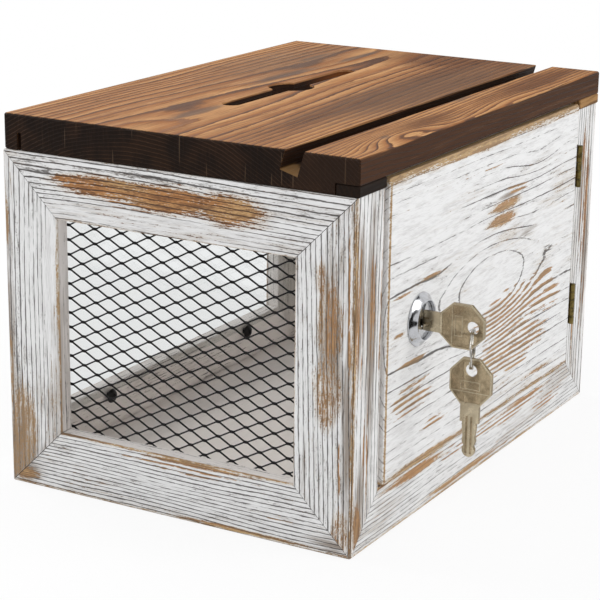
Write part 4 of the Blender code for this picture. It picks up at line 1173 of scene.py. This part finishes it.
def inset(outline, distance):
    """A convex outline moved inwards, its points given against the clock."""
    points = []
    for before, corner, after in corners_of(outline):
        enter = (corner - before).normalized()
        leave = (after - corner).normalized()
        normal = Vector((-enter.y, enter.x))
        inward = (normal + Vector((-leave.y, leave.x))).normalized()
        point = corner + inward * distance / inward.dot(normal)
        points.append((point.x, point.y))
    return points


def oblong(x, y):
    """A rectangle's corners against the clock, from its ends along X and along Y."""
    return [(x[0], y[0]), (x[1], y[0]), (x[1], y[1]), (x[0], y[1])]


def ring_outline(radius, steps, x):
    """Points round a circle whose middle is on X."""
    turns = [FULL_TURN * step / steps for step in range(steps)]
    return [(x + radius * cos(turn), radius * sin(turn)) for turn in turns]


def stood(mesh, x_axis, y_axis, centre):
    """Turn a mesh so that its X and Y face two directions, and put it in its place."""
    x_axis = Vector(x_axis)
    y_axis = Vector(y_axis)
    turn = Matrix((x_axis, y_axis, x_axis.cross(y_axis))).transposed().to_4x4()
    mesh.transform(Matrix.Translation(centre) @ turn)
    return mesh


# The lock's turned pieces, in millimetres. Profiles are (radius, height) points, with the height from
# the door's face, or from the plug's face for the keyway's mouth.
BEZEL = [
    (9.5, 3.7), (9.62, 3.93), (9.85, 4.0), (10.1, 3.93), (10.22, 3.7), (10.75, 3.05), (11.5, 2.2),
    (12.35, 1.4), (13.1, 0.85), (13.38, 0.7), (13.5, 0.5), (13.5, 0.3), (9.5, 0.3),
]
BARREL_RADIUS = 9.5
THREAD_START = -13.0
THREAD_PITCH = 0.8
THREAD_ROOT = 9.05
BARREL_BORE = 7.3
BARREL_END = 9.2
BARREL_CHAMFER = 0.4
KEYWAY_MOUTH = [(0, -2.6), (1.5, -2.6), (1.5, 1), (0, 1)]
KEYWAY_STRETCH = 1.6
KEYWAY_OFFSET = Vector((-2.3, -1.0))


def lock_profile(depth):
    """The bezel, and behind it the barrel with its thread down to a depth."""
    profile = list(BEZEL)
    height = THREAD_START
    while height > THREAD_PITCH - depth:
        profile += [(BARREL_RADIUS, height), (THREAD_ROOT, height - THREAD_PITCH / 2)]
        height -= THREAD_PITCH
    profile += [(BARREL_RADIUS, BARREL_CHAMFER - depth), (BARREL_END, -depth), (BARREL_BORE, -depth)]
    return profile + [(BARREL_BORE, 1.0), (BARREL_RADIUS, 1.0)]


class BALLOT_BOX_OT_lock(bpy.types.Operator):
    """Turn the lock's cone bezel and threaded barrel, and finish its plug, nut and cam"""

    bl_idname = "ballot_box.lock"
    bl_label = "Fit the lock"

    def execute(self, context):
        metal = settings_of("metal")
        chrome = speckled("Chrome", metal.chrome, screen(140, 140, 142), 0.15, 1.0, 0.3, 0.004)
        zinc = speckled("Zinc plate", metal.zinc, screen(120, 118, 112), 0.32, 1.0, 0.5)
        high, middle = node_box("lock_housing")[1:]
        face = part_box("door_panel")[0].y
        profile = lock_profile((high.y - face) / MM)
        housing = rounded_edges(turned("lock_bezel_and_barrel", profile, 72, True), 25)
        stood(housing, (1, 0, 0), (0, 0, 1), (middle.x, face, middle.z))
        new_piece("lock_bezel_and_barrel", housing, "door", "lock_chrome", chrome, "lock_housing")

        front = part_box("lock_plug")[0].y
        mouth = turned("keyway_mouth", KEYWAY_MOUTH, 24)
        for corner in mouth.vertices:
            corner.co.y *= KEYWAY_STRETCH
        x, z = middle.xz + KEYWAY_OFFSET * MM
        stood(mouth, (1, 0, 0), (0, 0, 1), (x, front, z))
        plug = carved("lock_plug_face", welded("plug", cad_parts["lock_plug"].data), mouth)
        plug = rounded_edges(plug, 30)
        finish = plug_metal("Plug chrome", front)
        new_piece("lock_plug_face", plug, "lock_barrel", "lock_chrome", finish, "lock_plug")
        assign(zinc, "lock_nut", "lock_cam", "cam_screw")
        return {"FINISHED"}


# The key's outlines, in millimetres from the end of its bow.
BOW = [(0, -4.5), (7, -11.2), (17, -11.2), (24, -5), (24, 5), (17, 11.2), (7, 11.2), (0, 4.5)]
SHANK_START = 22.5
BLADE_START = 32.6
SHANK_HALF = 5.0
BLADE_EDGE = (
    (0.0, 3.8), (3.2, 3.72), (7.3, 3.19), (9.43, 3.69), (10.86, 3.19), (12.1, 2.51), (13.53, 3.34),
    (15.49, 3.27), (16.9, 2.36), (17.8, 0.99),
)
KEY_HOLE_RADIUS = 3.2
KEY_HOLE_PLACE = 6.3
FRAME_WIDTH = 0.42
BOW_FRAME = ((11.6, 15.9), (-5.2, 5.2))
BOW_BAR = ((16.9, 17.4), (-9.9, 9.9))
GROOVES = (((29.5, 48.6), (-1.75, -0.75)), ((29.5, 48.6), (0.75, 1.75)))


def key_blank(name, rim):
    """A key along X from the end of its bow: sunk field, raised rim and frame, and a grooved blade."""
    edge = [(BLADE_START + reach, across) for reach, across in BLADE_EDGE]
    blade = softened([(x, -y) for x, y in edge] + edge[::-1], 0.5, 2)
    neck = [(BLADE_START, -SHANK_HALF)] + blade + [(BLADE_START, SHANK_HALF)]
    shank = [(SHANK_START, -SHANK_HALF)] + neck + [(SHANK_START, SHANK_HALF)]
    grooves = [oblong(*groove) for groove in GROOVES]
    frame_edge = oblong(*BOW_FRAME)
    hole = ring_outline(KEY_HOLE_RADIUS, 28, KEY_HOLE_PLACE)
    # Each layer is its outlines, half its thickness and how far its edges are softened.
    layers = (
        ("_core", [BOW[:4] + neck + BOW[4:], hole], 0.74, 0.12),
        ("_rim", [BOW, softened(inset(BOW, rim), 0.8)], 1.0, 0.14),
        ("_lands", [shank] + grooves, 0.98, 0.1),
        ("_bar", [oblong(*BOW_BAR)], 0.92, 0.06),
        ("_frame", [frame_edge, inset(frame_edge, FRAME_WIDTH)], 0.90, 0.06),
    )
    return rounded_edges(joined(name, *[plate(name + layer, *form) for layer, *form in layers]))


# The split ring: its radius and half its wire's width in millimetres, the degrees at which the wire
# starts, ends and steps over itself, the number of its sections, and the way it hangs. Its two
# turns lie their thickness times TURN_STEP apart, and its corners are rounded by CORNER_SHARE.
RING_RADIUS = 9.1
RING_REACH = 0.85
RING_START, RING_END = 31.0, 689.0
STEP_START, STEP_SPAN = 328, 64
RING_STEPS = 132
RING_YAW = radians(20)
TURN_STEP = 1.03
CORNER_SHARE = 0.45


def ring_mesh(name, wire):
    """A split ring about Z: two turns of flat wire whose thickness is given in millimetres."""
    half = wire / 2
    soft = half * CORNER_SHARE
    edge, flat = half - soft, RING_REACH - soft
    profile = [(RING_REACH, edge), (flat, half), (-flat, half), (-RING_REACH, edge)]
    profile += [(-radial, -axial) for radial, axial in profile]
    loops = []
    for step in range(RING_STEPS + 1):
        degrees = RING_START + (RING_END - RING_START) * step / RING_STEPS
        climb = min(max((degrees - STEP_START) / STEP_SPAN, 0), 1)
        offset = (climb * climb * (3 - 2 * climb) - 0.5) * wire * TURN_STEP
        x, y = cos(radians(degrees + 180)), sin(radians(degrees + 180))
        places = [(RING_RADIUS + radial, offset + axial) for radial, axial in profile]
        loops.append([(radius * x, radius * y, height) for radius, height in places])
    return rounded_edges(skinned(name, loops, capped=True), 50)


class BALLOT_BOX_OT_keys(bpy.types.Operator):
    """Cut the two keys, wind the split ring and finish them"""

    bl_idname = "ballot_box.keys"
    bl_label = "Hang the keys"

    def execute(self, context):
        metal = settings_of("metal")
        sizes = settings_of("sizes")
        dark = screen(104, 90, 68)
        for node, body, finish, turn in (
            ("key", "inserted_key", "Key nickel", ((0, 1, 0), (0, 0, 1))),
            ("spare_key", "hanging_key", "Spare key nickel", ((0, 0, -1), (0, 1, 0))),
        ):
            low, high, middle = node_box(node)
            bow_end = (middle.x, low.y, middle.z) if node == "key" else (middle.x, middle.y, high.z)
            nickel = speckled(finish, metal.keys, dark, 0.3, 1.0, 0.6, 0.015, middle=middle.x)
            key = stood(key_blank(node + "_cut", sizes.rim_width / MM), *turn, bow_end)
            new_piece(node + "_cut", key, body, "key_metal", nickel, node)

        chrome = speckled("Ring chrome", screen(188, 184, 176), screen(84, 80, 72), 0.16, 1.0, 0.7, 0.006)
        ring = ring_mesh("split_ring_wound", sizes.ring_wire / MM)
        stood(ring, (cos(RING_YAW), sin(RING_YAW), 0), (0, 0, 1), node_box("split_ring")[2])
        new_piece("split_ring_wound", ring, "key_ring", "lock_chrome", chrome, "split_ring")
        return {"FINISHED"}


# The studio, in metres. A card is the two ends of its foot and its height.
FLOOR_REACH = 6.0
NEAR_CARDS = [((-0.36, -0.33), (0.03, -0.33), 0.10), ((-0.52, 0.30), (-0.52, -0.02), 0.12)]
FAR_CARD_BEARINGS = (20, 75, 130, 195, 255, 305)
FAR_CARD_DISTANCE = 2.1
FAR_CARD_HALF_WIDTH = 0.32
FAR_CARD_HEIGHT = 1.5
WHITE = (1, 1, 1, 1)
# Each lamp's name, place, size and power in watts.
LAMPS = (
    ("Key lamp", (0.25, -1.7, 1.15), 1.2, 15.6),
    ("Fill lamp", (-1.45, -0.1, 1.35), 1.3, 7.6),
    ("Back lamp", (0.1, 1.7, 0.55), 1.3, 30),
)
LAMP_AIM = Vector((0, 0, 0.08))
# Where the photograph was taken from, fitted to the box's straight edges.
CAMERA_PLACE = (-0.89742, -0.50175, 0.37522)
CAMERA_DEGREES = (73.2326, -0.9527, -60.8887)
CAMERA_LENS = 117.01
CAMERA_SHIFT = (-0.05052, 0.03637)


def seen_as_background(tree):
    """One where the camera, polished metal or the pane sees a surface, zero where it only lights others."""
    rays = tree.node("ShaderNodeLightPath").socket.node.outputs
    seen = None
    for name in ("Is Camera Ray", "Is Glossy Ray", "Is Transmission Ray"):
        seen = tree.highest(seen, Link(tree, rays[name]))
    return seen


def sheets(name, quads, finish):
    """Loose sheets in one finish, each from its four corners in metres."""
    mesh = bpy.data.meshes.new(name)
    faces = [range(first, first + 4) for first in range(0, 4 * len(quads), 4)]
    mesh.from_pydata([corner for quad in quads for corner in quad], [], faces)
    mesh.materials.append(finish)
    return placed(name, mesh)


def studio_floor():
    """Lay a pale floor that fades to white away from the box."""
    material, tree, place = new_finish("Studio floor")
    cloth = tree.node("ShaderNodeBsdfDiffuse", None, {0: full(screen(238, 238, 238))})
    glow = tree.node("ShaderNodeEmission", None, {0: WHITE, 1: 1.0})
    share = seen_as_background(tree) * tree.rise(tree.length(place), 160.0, 520.0, 0.86, 1.0)
    shader = tree.node("ShaderNodeMixShader", None, {0: share, 1: cloth, 2: glow})
    tree.node("ShaderNodeOutputMaterial", None, {0: shader})
    span = (-FLOOR_REACH, FLOOR_REACH)
    floor = sheets("studio_floor", [[(x, y, 0) for x, y in oblong(span, span)]], material)


def studio_flags():
    """Stand dark cards round the set that only polished metal reflects."""
    cards = list(NEAR_CARDS)
    for degrees in FAR_CARD_BEARINGS:
        turn = radians(degrees)
        foot = Vector((cos(turn), sin(turn))) * FAR_CARD_DISTANCE
        side = Vector((-sin(turn), cos(turn))) * FAR_CARD_HALF_WIDTH
        cards.append((foot - side, foot + side, FAR_CARD_HEIGHT))
    quads = [((*a, MM), (*b, MM), (*b, height), (*a, height)) for a, b, height in cards]
    material, tree = new_finish("Studio flags")[:2]
    felt = tree.node("ShaderNodeEmission", None, {0: full(screen(24, 23, 22)), 1: 1.0})
    tree.node("ShaderNodeOutputMaterial", None, {0: felt})
    item = sheets("studio_flags", quads, material)
    item.visible_camera = False
    item.visible_diffuse = False
    item.visible_transmission = False
    item.visible_shadow = False


def studio_world(scene):
    """Surround the set with soft light that is seen as plain white."""
    world = bpy.data.worlds.new("Studio light")
    scene.world = world
    world.use_nodes = True
    world.node_tree.nodes.clear()
    tree = Tree(world.node_tree)
    soft = tree.node("ShaderNodeBackground", None, {0: (0.98, 0.98, 1.0, 1), 1: 0.62})
    plain = tree.node("ShaderNodeBackground", None, {0: WHITE, 1: 1.0})
    shader = tree.node("ShaderNodeMixShader", None, {0: seen_as_background(tree), 1: soft, 2: plain})
    tree.node("ShaderNodeOutputWorld", None, {0: shader})


class BALLOT_BOX_OT_studio(bpy.types.Operator):
    """Set the floor, the dark cards, the lamps and the camera"""

    bl_idname = "ballot_box.studio"
    bl_label = "Set the studio"

    def execute(self, context):
        scene = context.scene
        studio_floor()
        studio_flags()
        studio_world(scene)
        for name, spot, size, power in LAMPS:
            data = bpy.data.lights.new(name, "AREA")
            data.size = size
            data.energy = power
            lamp = placed(name, data)
            lamp.location = spot
            lamp.rotation_euler = (LAMP_AIM - Vector(spot)).to_track_quat("-Z", "Y").to_euler()

        data = bpy.data.cameras.new("Photograph camera")
        data.lens = CAMERA_LENS
        data.sensor_width = 36
        data.shift_x, data.shift_y = CAMERA_SHIFT
        data.clip_start = 0.05
        camera = placed("Photograph camera", data)
        camera.location = CAMERA_PLACE
        camera.rotation_euler = Euler([radians(degrees) for degrees in CAMERA_DEGREES])
        scene.camera = camera
        scene.view_settings.view_transform = "Standard"
        return {"FINISHED"}


class BALLOT_BOX_PT_panel(bpy.types.Panel):
    """Steps that dress the ballot box"""

    bl_label = "Ballot Box"
    bl_idname = "BALLOT_BOX_PT_panel"
    bl_space_type = "VIEW_3D"
    bl_region_type = "UI"
    bl_category = "Ballot Box"

    def draw(self, context):
        for step in STEPS:
            self.layout.operator(step.bl_idname)
        for kind in ("wood", "metal", "sizes"):
            group = settings_of(kind)
            for name in group.bl_rna.properties.keys():
                if name not in ("rna_type", "name"):
                    self.layout.prop(group, name)


STEPS = (
    BALLOT_BOX_OT_walls,
    BALLOT_BOX_OT_door,
    BALLOT_BOX_OT_lid,
    BALLOT_BOX_OT_mesh,
    BALLOT_BOX_OT_hinges,
    BALLOT_BOX_OT_screws,
    BALLOT_BOX_OT_pane,
    BALLOT_BOX_OT_lock,
    BALLOT_BOX_OT_keys,
    BALLOT_BOX_OT_studio,
)
GROUPS = (BALLOT_BOX_PG_wood, BALLOT_BOX_PG_metal, BALLOT_BOX_PG_sizes)
CLASSES = GROUPS + STEPS + (BALLOT_BOX_PT_panel,)


def register():
    """Add the classes and the scene's settings."""
    for item in CLASSES:
        bpy.utils.register_class(item)
    bpy.types.Scene.ballot_box_wood = bpy.props.PointerProperty(type=BALLOT_BOX_PG_wood)
    bpy.types.Scene.ballot_box_metal = bpy.props.PointerProperty(type=BALLOT_BOX_PG_metal)
    bpy.types.Scene.ballot_box_sizes = bpy.props.PointerProperty(type=BALLOT_BOX_PG_sizes)


def unregister():
    """Take the classes and the settings away again."""
    del bpy.types.Scene.ballot_box_sizes
    del bpy.types.Scene.ballot_box_metal
    del bpy.types.Scene.ballot_box_wood
    for item in reversed(CLASSES):
        bpy.utils.unregister_class(item)


def main():
    """Dress the box step by step."""
    register()
    for step in STEPS:
        group, name = step.bl_idname.split(".")
        getattr(getattr(bpy.ops, group), name)()


if __name__ == "__main__":
    main()
